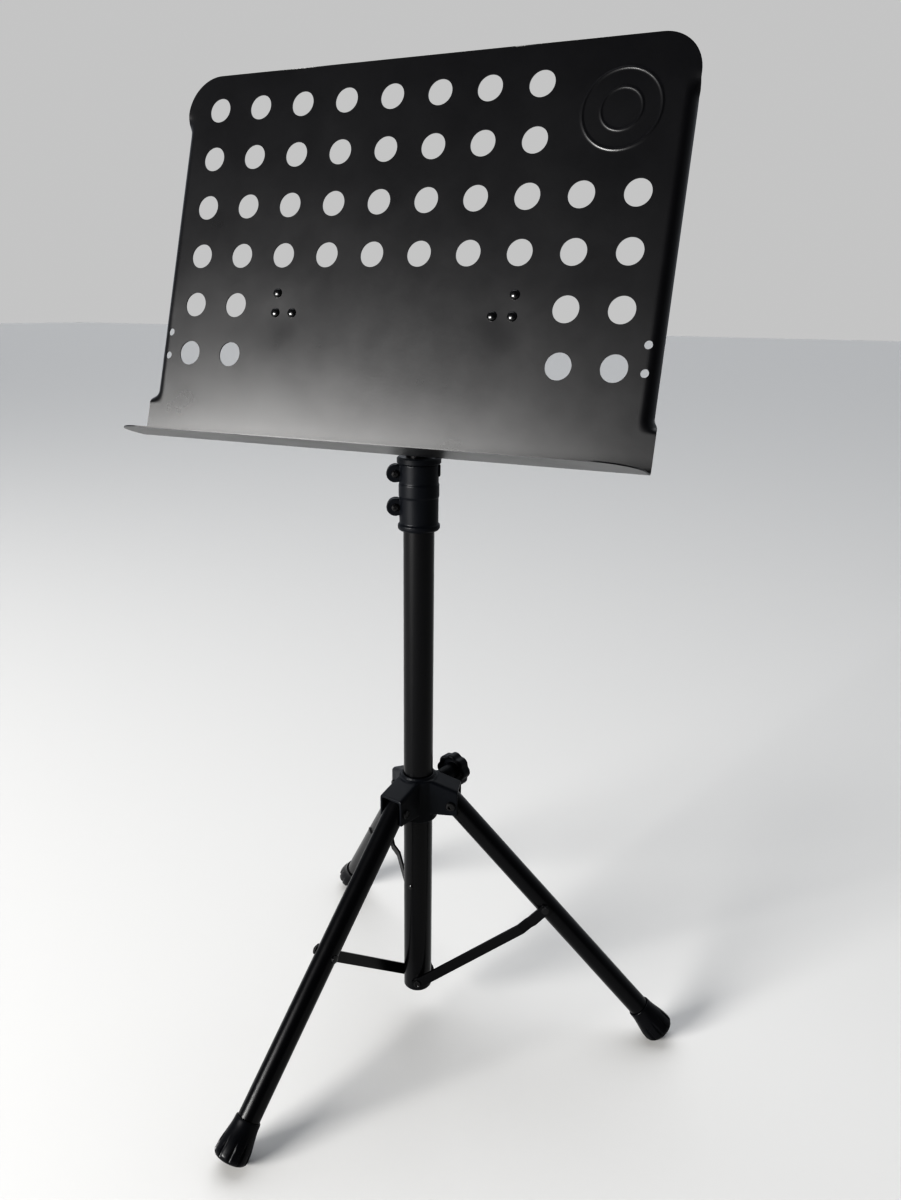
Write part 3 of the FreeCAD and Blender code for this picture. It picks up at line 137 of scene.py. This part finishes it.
def moulded_plastic(name, colour, roughness, grain):
    """Injection-moulded nylon: fine grain, and faint flow marks in the roughness."""
    material, tree, shader = new_material(name, colour, roughness, specular=0.12)
    flow = noise_at(tree, scale=60.0, detail=3.0, roughness=0.55)
    marks = spread(tree, flow, roughness - 0.06, roughness + 0.08)
    tree.links.new(marks, shader.inputs["Roughness"])
    specks = noise_at(tree, scale=900.0, detail=4.0)
    vary_colour(tree, shader, spread(tree, specks, 0.0, 0.5), colour, 1.5)
    add_bump(tree, shader, (noise_at(tree, scale=2600.0, detail=2.0), grain, 0.00012))
    return material


def steel(name, colour, roughness):
    """Zinc-plated steel with fine turning marks."""
    material, tree, shader = new_material(name, colour, roughness, metallic=1.0)
    marks = noise_at(tree, scale=1400.0, detail=4.0, roughness=0.6)
    uneven = spread(tree, marks, roughness - 0.08, roughness + 0.12)
    tree.links.new(uneven, shader.inputs["Roughness"])
    add_bump(tree, shader, (marks, 0.15, 0.0001))
    return material


SHEET_BLACK = (0.0024, 0.0024, 0.0030)
TUBE_BLACK = (0.0014, 0.0015, 0.0020)
PLASTIC_BLACK = (0.0030, 0.0036, 0.0050)
RUBBER_BLACK = (0.0028, 0.0030, 0.0038)
HARDWARE_BLACK = (0.0030, 0.0030, 0.0034)
ZINC = (0.55, 0.55, 0.54)

LOOK = {
    "coated_sheet": powder_coat(
        "coated_sheet", SHEET_BLACK, low=0.27, high=0.31, peel=0.02, specular=0.42
    ),
    "coated_tube": powder_coat(
        "coated_tube", TUBE_BLACK, low=0.22, high=0.28, peel=0.012, specular=0.22
    ),
    "moulded_plastic": moulded_plastic("moulded_plastic", PLASTIC_BLACK, roughness=0.38, grain=0.20),
    "foot_rubber": moulded_plastic("foot_rubber", RUBBER_BLACK, roughness=0.28, grain=0.10),
    "black_hardware": powder_coat(
        "black_hardware", HARDWARE_BLACK, low=0.20, high=0.26, peel=0.02, specular=0.35
    ),
    "zinc_hardware": steel("zinc_hardware", ZINC, roughness=0.32),
}


def dress(obj, slot):
    obj.data.materials.clear()
    obj.data.materials.append(LOOK[slot])


# ---------------------------------------------------------------- mesh helpers


def link(obj):
    bpy.context.scene.collection.objects.link(obj)


def add_piece(name, mesh, body, slot, node):
    """A finished piece: its look, the body it rides on and the CAD node it stands for."""
    piece = bpy.data.objects.new(name, mesh)
    link(piece)
    dress(piece, slot)
    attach(piece, body)
    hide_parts(node)
    return piece


def smooth_by_angle(mesh, degrees):
    mesh.shade_smooth()
    mesh.set_sharp_from_angle(angle=math.radians(degrees))


def soften(obj, width, degrees=35.0):
    """Rounds an object's sharp edges a little, as a mould or a deburring tool leaves them."""
    bevel = obj.modifiers.new("soft_edges", "BEVEL")
    bevel.width = width
    bevel.segments = 2
    bevel.limit_method = "ANGLE"
    bevel.angle_limit = math.radians(degrees)
    bevel.harden_normals = True


def smooth_step(value, start, end):
    t = min(max((value - start) / (end - start), 0.0), 1.0)
    return t * t * (3.0 - 2.0 * t)


def polar_mesh(name, profile, place, segments, shape=None, closed_bottom=True):
    """A skin round the Z axis of place: profile is (radius, height), shape(angle, index) scales it."""
    mesh = bpy.data.meshes.new(name)
    bm = bmesh.new()
    rows = []
    for index, (radius, height) in enumerate(profile):
        row = []
        for i in range(segments):
            angle = 2 * math.pi * i / segments
            reach = radius * (shape(angle, index) if shape else 1.0)
            local = Vector((reach * math.cos(angle), reach * math.sin(angle), height))
            row.append(bm.verts.new(place @ local))
        rows.append(row)
    for low, high in zip(rows, rows[1:]):
        for i in range(segments):
            j = (i + 1) % segments
            bm.faces.new((low[i], low[j], high[j], high[i]))
    if closed_bottom:
        bm.faces.new(list(reversed(rows[0])))
    bm.faces.new(rows[-1])
    bmesh.ops.recalc_face_normals(bm, faces=bm.faces)
    bm.to_mesh(mesh)
    bm.free()
    return mesh


def merged(name, meshes):
    """Several meshes as one."""
    bm = bmesh.new()
    for mesh in meshes:
        bm.from_mesh(mesh)
    whole = bpy.data.meshes.new(name)
    bm.to_mesh(whole)
    bm.free()
    return whole


def carrier_of(mesh):
    """An object that only carries a mesh while its modifiers are applied."""
    carrier = bpy.data.objects.new("carrier", mesh)
    link(carrier)
    return carrier


def baked(carrier):
    """The carrier's mesh with its modifiers applied; the carrier itself is removed."""
    graph = bpy.context.evaluated_depsgraph_get()
    mesh = bpy.data.meshes.new_from_object(carrier.evaluated_get(graph))
    bpy.data.objects.remove(carrier)
    return mesh


def moulded_copy(node, body, voxel, passes, triangles):
    """A CAD node remeshed with the soft edges of a moulding, in about so many triangles."""
    carrier = carrier_of(NODES[node].data.copy())
    remesh = carrier.modifiers.new("even_mesh", "REMESH")
    remesh.mode = "VOXEL"
    remesh.voxel_size = voxel
    relax = carrier.modifiers.new("soft_edges", "SMOOTH")
    relax.factor = 0.5
    relax.iterations = passes
    mesh = baked(carrier)
    have = sum(len(face.vertices) - 2 for face in mesh.polygons)
    if have > triangles:
        carrier = carrier_of(mesh)
        thin = carrier.modifiers.new("thin_out", "DECIMATE")
        thin.ratio = triangles / have
        mesh = baked(carrier)
    mesh.name = node + "_moulding"
    smooth_by_angle(mesh, 50)
    add_piece(node + "_moulding", mesh, body, SLOT_OF[node], node)


# ---------------------------------------------------------------- frames of the stand's parts

LEDGE_TOP = -0.1905
LEDGE_DEPTH = 0.0500
LEG_SPREAD = 41.9


def frame_from(origin, x_axis, y_axis, z_axis):
    axes = Matrix((x_axis, y_axis, z_axis)).transposed().to_4x4()
    return Matrix.Translation(origin) @ axes


def desk_place():
    """The desk's frame, from the ledge's mount: X across, Y behind the sheet, Z up the sheet."""
    ledge = MOUNTS["music_ledge"]
    up = Vector(ledge["axis"])
    back = up.cross(X_AXIS)
    origin = Vector(ledge["pos_m"]) - up * LEDGE_TOP + back * (LEDGE_DEPTH / 2)
    return frame_from(origin, X_AXIS, back, up)


def leg_place(side):
    """A leg's frame: Z runs down the leg from the pivot, Y along the pivot."""
    joint = JOINTS[f"leg_{side}_hinge"]
    pivot_axis = Vector(joint["axis"]).normalized()
    outward = pivot_axis.cross(UP)
    spread_angle = math.radians(LEG_SPREAD)
    down = outward * math.sin(spread_angle) - UP * math.cos(spread_angle)
    return frame_from(Vector(joint["pos_m"]), pivot_axis.cross(down), pivot_axis, down)


def knob_place(joint_name, offset):
    """A knob's frame: Z along its screw, away from what it clamps."""
    joint = JOINTS[joint_name]
    axis = Vector(joint["axis"]).normalized()
    across = axis.cross(UP).normalized()
    return frame_from(Vector(joint["pos_m"]) + axis * offset, across, axis.cross(across), axis)


# ---------------------------------------------------------------- desk

# Places on the desk are (across, up), measured on its sheet from the frame's origin.
SHEET = 0.001
DESK_HALF = 0.2410
DESK_TOP_HALF = 0.2376
WIDER_BELOW = (0.088, 0.108)
DESK_TOP = 0.1440
CORNER = 0.033
HOLE_PITCH = 0.04485
HOLE_RADIUS = 0.01105
HOLE_ROWS = {0: range(8), 1: range(8), 2: range(10), 3: range(10), 4: (0, 1, 8, 9), 5: (0, 1, 8, 9)}
HOLE_POINTS = 56
CLIP_HOLE_REACH = 0.2260
CLIP_HOLE_RADIUS = 0.0034
CLIP_HOLE_LEVELS = (-0.0933, -0.1150)
CLIP_HOLE_POINTS = 24

# The ledge is bent forward at the bottom, and both sides are folded back.
LEDGE_BEND = 0.0025
BEND_START = LEDGE_TOP + LEDGE_BEND
BEND_END = BEND_START - LEDGE_BEND * QUARTER_TURN
LEDGE_TIP = BEND_END - (LEDGE_DEPTH - LEDGE_BEND)
FOLD_START = 0.2272
FOLD_LENGTH = 0.0148
FOLD_TOP = (0.093, 0.111)
FOLD_BOTTOM = (-0.160, -0.148)

# Two plain pressed rings as (radius, width, height), and the spacing of the points under them.
MARK_CENTRE = (0.1800, 0.0875)
MARK_RINGS = ((0.0315, 0.0012, 0.00045), (0.0165, 0.0011, 0.00038))
MARK_REACH = 0.038
MARK_STEP = 0.001
MARK_NEAR = 0.0024

# Rivets join the sheet to its bracket, in threes; each three has drawn in a shallow dimple.
RIVET_OUTER = 0.1130
RIVET_INNER = 0.0956
RIVET_UPPER = -0.0563
RIVET_LOWER = -0.0738
DIMPLE_ACROSS = 0.107
DIMPLE_DROP = 0.004
DIMPLE_STRETCH = 0.9
DIMPLE_RADIUS = 0.016
DIMPLE_DEPTH = 0.0003
WAVES_PER_METRE = 7.0
WAVE_SEED = 3.7
WAVE_HEIGHT = 0.00025

# Spacing of the blank's points, and how many there are along each bend.
ROW_STEP = 0.004
FINE_ROW_STEP = 0.0012
COLUMN_STEP = 0.006
EDGE_GAP = 0.001
HOLE_GAP = 0.0015
CORNER_STEPS = 16
BEND_STEPS = 6
LEDGE_STEPS = 4
FOLD_STEPS = 9


def fold_angle(up):
    """How far the sheet's sides are folded back at this height: 0 at the flat corners."""
    top = 1.0 - smooth_step(up, *FOLD_TOP)
    bottom = smooth_step(up, *FOLD_BOTTOM)
    return QUARTER_TURN * top * bottom


def blank_half_width(up):
    """Half the width of the flat blank, with its four rounded corners."""
    half = DESK_HALF + (DESK_TOP_HALF - DESK_HALF) * smooth_step(up, *WIDER_BELOW)
    into = min(DESK_TOP - up, up - LEDGE_TIP)
    if into >= CORNER:
        return half
    drop = CORNER - max(into, 0.0)
    return half - CORNER + math.sqrt(max(CORNER**2 - drop**2, 0.0))


def pressed_mark(across, up):
    """How far the pressed rings near the top right corner raise the sheet."""
    distance = math.hypot(across - MARK_CENTRE[0], up - MARK_CENTRE[1])
    rise = 0.0
    for radius, width, height in MARK_RINGS:
        offset = (distance - radius) / width
        rise += height * math.exp(-offset * offset * 1.6)
    return rise


def sheet_relief(across, up):
    """How far the sheet lies behind its plane: rivet dimples, faint waves, the rings."""
    relief = 0.0
    for side in (-1, 1):
        below = (up - RIVET_LOWER + DIMPLE_DROP) * DIMPLE_STRETCH
        offset = math.hypot(across - side * DIMPLE_ACROSS, below)
        relief += DIMPLE_DEPTH * math.exp(-((offset / DIMPLE_RADIUS) ** 2))
    place = Vector((across * WAVES_PER_METRE, up * WAVES_PER_METRE, WAVE_SEED))
    relief += WAVE_HEIGHT * noise.noise(place)
    return relief - pressed_mark(across, up)


def bend_sheet(across, up):
    """A point of the flat blank in the desk's frame, after both kinds of bending."""
    side = 1.0 if across >= 0 else -1.0
    x = across
    behind = 0.0
    angle = fold_angle(up)
    beyond = abs(across) - FOLD_START
    if beyond > 0 and angle > 1e-4:
        radius = FOLD_LENGTH / angle
        turned = beyond / radius
        x = side * (FOLD_START + radius * math.sin(turned))
        behind = radius * (1.0 - math.cos(turned))
    if up >= BEND_START:
        return Vector((x, behind + sheet_relief(across, up), up))
    if up > BEND_END:
        turned = (BEND_START - up) / LEDGE_BEND
        forward = LEDGE_BEND * (1.0 - math.cos(turned))
        return Vector((x, -forward, BEND_START - LEDGE_BEND * math.sin(turned)))
    return Vector((x, -LEDGE_BEND - (BEND_END - up), LEDGE_TOP))


def mark_radii():
    """Radii of the circles of points under the pressed rings, finer where the sheet rises."""
    steps = [step * MARK_STEP for step in range(2, 38)]
    radii = [r for r in steps if all(abs(r - mark[0]) > MARK_NEAR for mark in MARK_RINGS)]
    for mark in MARK_RINGS:
        radii += [mark[0] + MARK_NEAR * i / 6 for i in range(-6, 7)]
    return radii


def circle(centre, radius, count):
    """Points of a circle, counter-clockwise."""
    angles = [2 * math.pi * i / count for i in range(count)]
    return [
        Vector((centre[0] + radius * math.cos(a), centre[1] + radius * math.sin(a))) for a in angles
    ]


def desk_openings():
    """Every opening in the sheet, as (centre, radius, points of its outline)."""
    for row, columns in HOLE_ROWS.items():
        for column in columns:
            centre = ((column - 4.5) * HOLE_PITCH, (2.5 - row) * HOLE_PITCH)
            yield centre, HOLE_RADIUS, HOLE_POINTS
    for side in (-1, 1):
        for level in CLIP_HOLE_LEVELS:
            yield (side * CLIP_HOLE_REACH, level), CLIP_HOLE_RADIUS, CLIP_HOLE_POINTS


def sheet_levels():
    """Heights of the blank's rows of points, closer together at the bends and corners."""
    turns = [i / CORNER_STEPS * QUARTER_TURN for i in range(CORNER_STEPS + 1)]
    levels = [DESK_TOP - CORNER * (1 - math.cos(turn)) for turn in turns]
    level = DESK_TOP - CORNER - ROW_STEP
    while level > FOLD_BOTTOM[1] + ROW_STEP:
        levels.append(level)
        level -= ROW_STEP
    while level > BEND_START + EDGE_GAP:
        levels.append(level)
        level -= FINE_ROW_STEP
    bend_arc = LEDGE_BEND * QUARTER_TURN
    levels += [BEND_START - bend_arc * i / BEND_STEPS for i in range(BEND_STEPS + 1)]
    flat = BEND_END - (LEDGE_TIP + CORNER)
    levels += [BEND_END - flat * i / LEDGE_STEPS for i in range(1, LEDGE_STEPS + 1)]
    levels += [LEDGE_TIP + CORNER * (1 - math.sin(turn)) for turn in turns[1:]]
    return levels


def inner_points(levels, openings):
    """Points inside the blank: fine columns in the side folds, a plain grid elsewhere."""
    columns = [i * COLUMN_STEP for i in range(-37, 38)]
    folds = [FOLD_START + FOLD_LENGTH * i / FOLD_STEPS for i in range(-1, FOLD_STEPS)]
    columns += [side * fold for side in (-1, 1) for fold in folds]
    taken = [(Vector(centre), radius + HOLE_GAP) for centre, radius, _ in openings]
    taken.append((Vector(MARK_CENTRE), MARK_REACH))
    for level in levels[1:-1]:
        half = blank_half_width(level)
        for column in columns:
            place = Vector((column, level))
            clear = all((place - centre).length > reach for centre, reach in taken)
            if clear and abs(column) < half - EDGE_GAP:
                yield place


def flat_blank():
    """The flat blank in triangles, with its openings left out."""
    levels = sheet_levels()
    points = [Vector((-blank_half_width(level), level)) for level in levels]
    points += [Vector((blank_half_width(level), level)) for level in reversed(levels)]
    loops = [list(range(len(points)))]
    openings = list(desk_openings())
    for centre, radius, count in openings:
        loops.append(list(range(len(points), len(points) + count)))
        points += circle(centre, radius, count)
    points += inner_points(levels, openings)
    for radius in mark_radii():
        points += circle(MARK_CENTRE, radius, max(12, int(radius * 4500)))
    result = geometry.delaunay_2d_cdt(points, [], loops, 1, 1e-6)
    flat_points, triangles, owners = result[0], result[2], result[5]
    return flat_points, [face for face, owner in zip(triangles, owners) if owner == [0]]


def build_desk_sheet():
    place = desk_place()
    flat_points, triangles = flat_blank()
    mesh = bpy.data.meshes.new("desk_sheet")
    mesh.from_pydata([place @ bend_sheet(p.x, p.y) for p in flat_points], [], triangles)
    bm = bmesh.new()
    bm.from_mesh(mesh)
    loose = [vertex for vertex in bm.verts if not vertex.link_faces]
    bmesh.ops.delete(bm, geom=loose, context="VERTS")
    bmesh.ops.recalc_face_normals(bm, faces=bm.faces)
    front = place.to_3x3() @ Vector((0, -1, 0))
    middle = min(bm.faces, key=lambda f: (f.calc_center_median() - place.translation).length)
    if middle.normal.dot(front) < 0:
        bmesh.ops.reverse_faces(bm, faces=bm.faces)
    bm.to_mesh(mesh)
    bm.free()
    mesh.shade_smooth()
    piece = add_piece("desk_sheet", mesh, "desk", "coated_sheet", "desk_plate")
    # No even offset here: at the thinnest triangles it throws a vertex far off the sheet.
    thick = piece.modifiers.new("thickness", "SOLIDIFY")
    thick.thickness = SHEET
    thick.offset = -1.0
    thick.use_quality_normals = True
    soften(piece, 0.00025, 50.0)


# ---------------------------------------------------------------- rivets

HEAD_RIM = 0.0004
HEAD_STEPS = 9


def dome(radius, height):
    """Profile of a domed head that stands on height 0."""
    profile = [(radius, 0.0), (radius, HEAD_RIM)]
    for i in range(1, HEAD_STEPS):
        angle = QUARTER_TURN * i / HEAD_STEPS
        rise = (height - HEAD_RIM) * math.sin(angle)
        profile.append((radius * math.cos(angle), HEAD_RIM + rise))
    profile.append((radius * 0.06, height))
    return profile


def rivet_head(place, spot, out, radius, height, segments):
    """A domed head at a spot of the desk; out is -1 in front of the sheet and 1 behind it."""
    turn = place.to_3x3()
    up_axis = turn @ Vector((0, 0, -out))
    seat = frame_from(place @ Vector(spot), turn @ X_AXIS, up_axis, turn @ Vector((0, out, 0)))
    return polar_mesh("head", dome(radius, height), seat, segments)


def build_desk_rivets():
    place = desk_place()
    spots = ((RIVET_OUTER, RIVET_UPPER), (RIVET_OUTER, RIVET_LOWER), (RIVET_INNER, RIVET_LOWER))
    heads = []
    for side in (-1, 1):
        for reach, up in spots:
            across = side * reach
            front = (across, sheet_relief(across, up), up)
            heads.append(rivet_head(place, front, -1, radius=0.0041, height=0.0024, segments=40))
            back = (across, 0.003, up)
            heads.append(rivet_head(place, back, 1, radius=0.0036, height=0.0014, segments=32))
    mesh = merged("desk_rivet_heads", heads)
    smooth_by_angle(mesh, 50)
    add_piece("desk_rivet_heads", mesh, "desk", "black_hardware", "desk_rivets")


# ---------------------------------------------------------------- feet

LEG_RADIUS = 0.0110
FOOT_START = 0.3105
FOOT_END = 0.3482
FOOT_LENGTH = FOOT_END - FOOT_START
FOOT_BORE = LEG_RADIUS + 0.0001
FOOT_NECK = 0.0125
FOOT_RADIUS = 0.0167
FOOT_LIP = 0.0009
FOOT_LIP_STEPS = 6
FOOT_FLARE_STEPS = 26
FOOT_FLARE = 0.83
FOOT_SOLE = 0.17
FOOT_EDGE = 0.0055
FOOT_EDGE_STEPS = 10
FOOT_GROOVES = 10
GROOVE_DEPTH = 0.085


def foot_profile():
    """(radius, height) from the inner rim over the flare to the sole's centre."""
    profile = [(FOOT_BORE, FOOT_START + 0.004), (FOOT_BORE, FOOT_START + 0.0006)]
    middle = (FOOT_NECK + LEG_RADIUS) / 2
    half = (FOOT_NECK - LEG_RADIUS) / 2
    for i in range(FOOT_LIP_STEPS + 1):
        angle = math.pi * i / FOOT_LIP_STEPS
        level = FOOT_START + FOOT_LIP * (1 - math.sin(angle))
        profile.append((middle - half * math.cos(angle), level))
    for i in range(1, FOOT_FLARE_STEPS + 1):
        t = i / FOOT_FLARE_STEPS
        flare = smooth_step(t, 0.12, 0.86) * 0.55 + t * 0.45
        level = FOOT_START + FOOT_LENGTH * FOOT_FLARE * t + FOOT_LIP
        profile.append((FOOT_NECK + (FOOT_RADIUS - FOOT_NECK) * flare, level))
    edge_start = FOOT_START + FOOT_LENGTH * FOOT_FLARE + FOOT_LIP
    for i in range(1, FOOT_EDGE_STEPS + 1):
        angle = QUARTER_TURN * i / FOOT_EDGE_STEPS
        reach = FOOT_RADIUS - FOOT_EDGE + FOOT_EDGE * math.cos(angle)
        level = edge_start + (FOOT_LENGTH * FOOT_SOLE - FOOT_LIP) * math.sin(angle)
        profile.append((reach, level))
    profile += [(0.0070, FOOT_END), (0.0035, FOOT_END)]
    return profile


def foot_shape(profile):
    """Grooves along the foot, deepest on its flare, none on the rim's points."""
    rim_points = 2 + FOOT_LIP_STEPS + 1

    def shape(angle, index):
        along = (profile[index][1] - FOOT_START) / FOOT_LENGTH
        fade = 1.0 - smooth_step(along, 0.90, 0.975)
        depth = GROOVE_DEPTH * smooth_step(along, 0.36, 0.72) * fade
        if index < rim_points:
            depth = 0.0
        width = 0.16 + 0.22 * smooth_step(along, 0.4, 0.85)
        turn = angle * FOOT_GROOVES / (2 * math.pi)
        offset = abs(turn - round(turn)) / width * 2.0
        groove = max(0.0, 1.0 - offset * offset) ** 0.8
        return 1.0 - depth * groove

    return shape


def build_foot(side):
    profile = foot_profile()
    name = f"foot_{side}"
    mesh = polar_mesh(name, profile, leg_place(side), 160, foot_shape(profile), closed_bottom=False)
    for vertex in mesh.vertices:
        vertex.co.z = max(vertex.co.z, 0.0)
    smooth_by_angle(mesh, 40)
    add_piece(name, mesh, f"leg_{side}", "foot_rubber", f"leg_{side}_foot")


# ---------------------------------------------------------------- knobs

KNOB_RADIUS = 0.0186
KNOB_THICKNESS = 0.0130
KNOB_EDGE = 0.0022
KNOB_EDGE_STEPS = 6
KNOB_LOBES = 8
KNOB_LOBE_DEPTH = 0.090
# The hollow underside behind the rim, and the dished outer face by its depth below the top.
KNOB_UNDERSIDE = (
    (0.0088, 0.0030), (0.0095, 0.0045), (0.0110, 0.0050), (0.0132, 0.0046), (0.0144, 0.0030),
)
KNOB_FACE = (
    (0.0140, 0.0001), (0.0105, 0.0006), (0.0098, 0.0012),
    (0.0092, 0.0012), (0.0086, 0.0004), (0.0060, 0.0001), (0.0030, 0.0),
)


def knob_profile(neck_start):
    """(radius, height) from the neck over the rim to the middle of the outer face."""
    edge = KNOB_EDGE
    angles = [QUARTER_TURN * i / KNOB_EDGE_STEPS for i in range(KNOB_EDGE_STEPS + 1)]
    profile = [(0.0041, neck_start), (0.0070, neck_start), (0.0074, neck_start + 0.0004)]
    profile += KNOB_UNDERSIDE
    for angle in angles:
        reach = KNOB_RADIUS - edge + edge * math.sin(angle)
        profile.append((reach, edge * (1 - math.cos(angle))))
    profile += [(KNOB_RADIUS, edge + (KNOB_THICKNESS - 2 * edge) * i / 4) for i in range(1, 4)]
    for angle in angles:
        reach = KNOB_RADIUS - edge * (1 - math.cos(angle))
        profile.append((reach, KNOB_THICKNESS - edge * (1 - math.sin(angle))))
    profile += [(radius, KNOB_THICKNESS - depth) for radius, depth in KNOB_FACE]
    return profile


def knob_shape(profile):
    """Lobes round the rim, fading out towards the middle."""

    def shape(angle, index):
        strength = smooth_step(profile[index][0], 0.0105, 0.0170)
        wave = (0.5 - 0.5 * math.cos(KNOB_LOBES * angle)) ** 1.5
        return 1.0 - KNOB_LOBE_DEPTH * strength * wave

    return shape


def build_knob(name, joint, body, node, offset, neck_start):
    """A star knob, its rim offset along the joint's axis; the neck starts behind the rim."""
    profile = knob_profile(neck_start)
    place = knob_place(joint, offset)
    mesh = polar_mesh(name, profile, place, 192, knob_shape(profile), closed_bottom=False)
    smooth_by_angle(mesh, 42)
    add_piece(name, mesh, body, "moulded_plastic", node)


# ---------------------------------------------------------------- stage, light and camera

FLOOR_COLOUR = (0.50, 0.495, 0.485)
WINDOW_PLACE = Vector((-2.35, -4.1, 1.42))
WINDOW_TARGET = Vector((0, 0, 0.75))
WINDOW_SIZE = (2.2, 1.2)
WINDOW_POWER = 520
WINDOW_COLOUR = (1.0, 0.99, 0.975)
SKY_DIRECTION = Vector((0.35, -0.45, -1.0))
SKY_STRENGTH = 1.4
SKY_ANGLE = 60
SKY_COLOUR = (0.97, 0.98, 1.0)
ROOM_COLOUR = (0.90, 0.94, 1.0, 1.0)
FRONT_LIGHT = 0.03
BACK_LIGHT = 0.7
BACKDROP_COLOUR = (0.43, 0.43, 0.43, 1.0)
CAMERA_FROM_COLUMN = Vector((0.4005, -0.8089, 0.7585))
CAMERA_HEADING = Vector((-0.4124, 0.9110, 0.0))
CAMERA_PITCH = 16.96
CAMERA_ROLL = -0.73
LENS = 28.76


def add_light(name, kind, direction, power, colour):
    """A light that shines along the direction."""
    data = bpy.data.lights.new(name, kind)
    data.energy = power
    data.color = colour
    lamp = bpy.data.objects.new(name, data)
    lamp.rotation_euler = direction.to_track_quat("-Z", "Y").to_euler()
    link(lamp)
    return lamp


def studio_world():
    """Soft light from behind the stand, little from its front; the eye sees a plain grey backdrop."""
    world = bpy.data.worlds.new("studio")
    world.use_nodes = True
    tree = world.node_tree
    light = tree.nodes["Background"]
    place = add_node(tree, "ShaderNodeTexCoord")
    split = add_node(tree, "ShaderNodeSeparateXYZ")
    tree.links.new(place.outputs["Generated"], split.inputs["Vector"])
    level = spread(tree, split.outputs["Y"], FRONT_LIGHT, BACK_LIGHT, start=-0.5, end=0.8)
    tree.links.new(level, light.inputs["Strength"])
    light.inputs["Color"].default_value = ROOM_COLOUR
    seen = add_node(tree, "ShaderNodeBackground")
    seen.inputs["Color"].default_value = BACKDROP_COLOUR
    seen.inputs["Strength"].default_value = 1.0
    path = add_node(tree, "ShaderNodeLightPath")
    mix = add_node(tree, "ShaderNodeMixShader")
    tree.links.new(path.outputs["Is Camera Ray"], mix.inputs["Fac"])
    tree.links.new(light.outputs["Background"], mix.inputs[1])
    tree.links.new(seen.outputs["Background"], mix.inputs[2])
    tree.links.new(mix.outputs["Shader"], tree.nodes["World Output"].inputs["Surface"])
    bpy.context.scene.world = world


def build_stage():
    bpy.ops.mesh.primitive_plane_add(size=60, location=(0, 0, 0))
    floor = bpy.context.object
    floor.name = "floor"
    material, _, _ = new_material("floor_pale", FLOOR_COLOUR, roughness=0.70, specular=0.2)
    floor.data.materials.append(material)
    studio_world()
    towards_stand = WINDOW_TARGET - WINDOW_PLACE
    window = add_light("window", "AREA", towards_stand, WINDOW_POWER, WINDOW_COLOUR)
    window.location = WINDOW_PLACE
    window.data.shape = "RECTANGLE"
    window.data.size, window.data.size_y = WINDOW_SIZE
    sky = add_light("sky", "SUN", SKY_DIRECTION, SKY_STRENGTH, SKY_COLOUR)
    sky.data.angle = math.radians(SKY_ANGLE)


def build_camera():
    """The viewer's place: before the stand and to its right, about level with the desk's middle."""
    heading = CAMERA_HEADING.normalized()
    pitch = math.radians(CAMERA_PITCH)
    forward = heading * math.cos(pitch) - Vector((0, 0, math.sin(pitch)))
    right = forward.cross(UP).normalized()
    up = right.cross(forward)
    turn = Matrix.Rotation(math.radians(CAMERA_ROLL), 3, forward)
    data = bpy.data.cameras.new("camera")
    data.sensor_fit = "VERTICAL"
    data.sensor_height = 36.0
    data.lens = LENS
    data.clip_start = 0.01
    camera = bpy.data.objects.new("camera", data)
    column_foot = Vector(JOINTS["mast_swivel"]["pos_m"][:2] + [0.0])
    place = column_foot + CAMERA_FROM_COLUMN
    camera.matrix_world = frame_from(place, turn @ right, turn @ up, -forward)
    link(camera)
    bpy.context.scene.camera = camera
    bpy.context.scene.view_settings.view_transform = "Standard"
    bpy.context.scene.view_settings.look = "High Contrast"


# ---------------------------------------------------------------- the stand

# CAD nodes that stay, and how wide their edges are softened.
BEVELLED = {
    "outer_tube": 0.0003,
    "inner_tube": 0.0003,
    "desk_bracket": 0.0004,
    "tilt_yoke": 0.0004,
    "clutch_bush": 0.0004,
    "clutch_screws": 0.0002,
    "clutch_nuts": 0.0003,
    "tilt_bolt": 0.0003,
    "leg_pivot_bolts": 0.0002,
    "leg_pivot_nuts": 0.0003,
    "brace_front": 0.0004,
    "brace_right": 0.0004,
    "brace_back": 0.0004,
}

for node_name, node_object in NODES.items():
    dress(node_object, SLOT_OF[node_name])
    if node_name in BEVELLED:
        soften(node_object, BEVELLED[node_name])

build_desk_sheet()
build_desk_rivets()
for side_name in SIDES:
    build_foot(side_name)
build_knob("hub_star_knob", "hub_knob_turn", "hub_knob", "hub_knob", offset=0.0, neck_start=-0.018)
build_knob("tilt_star_knob", "tilt_knob_turn", "tilt_knob", "tilt_knob", offset=0.0123, neck_start=0.0)
moulded_copy("hub_body", "hub", voxel=0.0007, passes=5, triangles=60000)
moulded_copy("clutch_collar", "column", voxel=0.0006, passes=3, triangles=40000)
moulded_copy("tilt_head", "mast", voxel=0.0007, passes=4, triangles=16000)

build_stage()
build_camera()
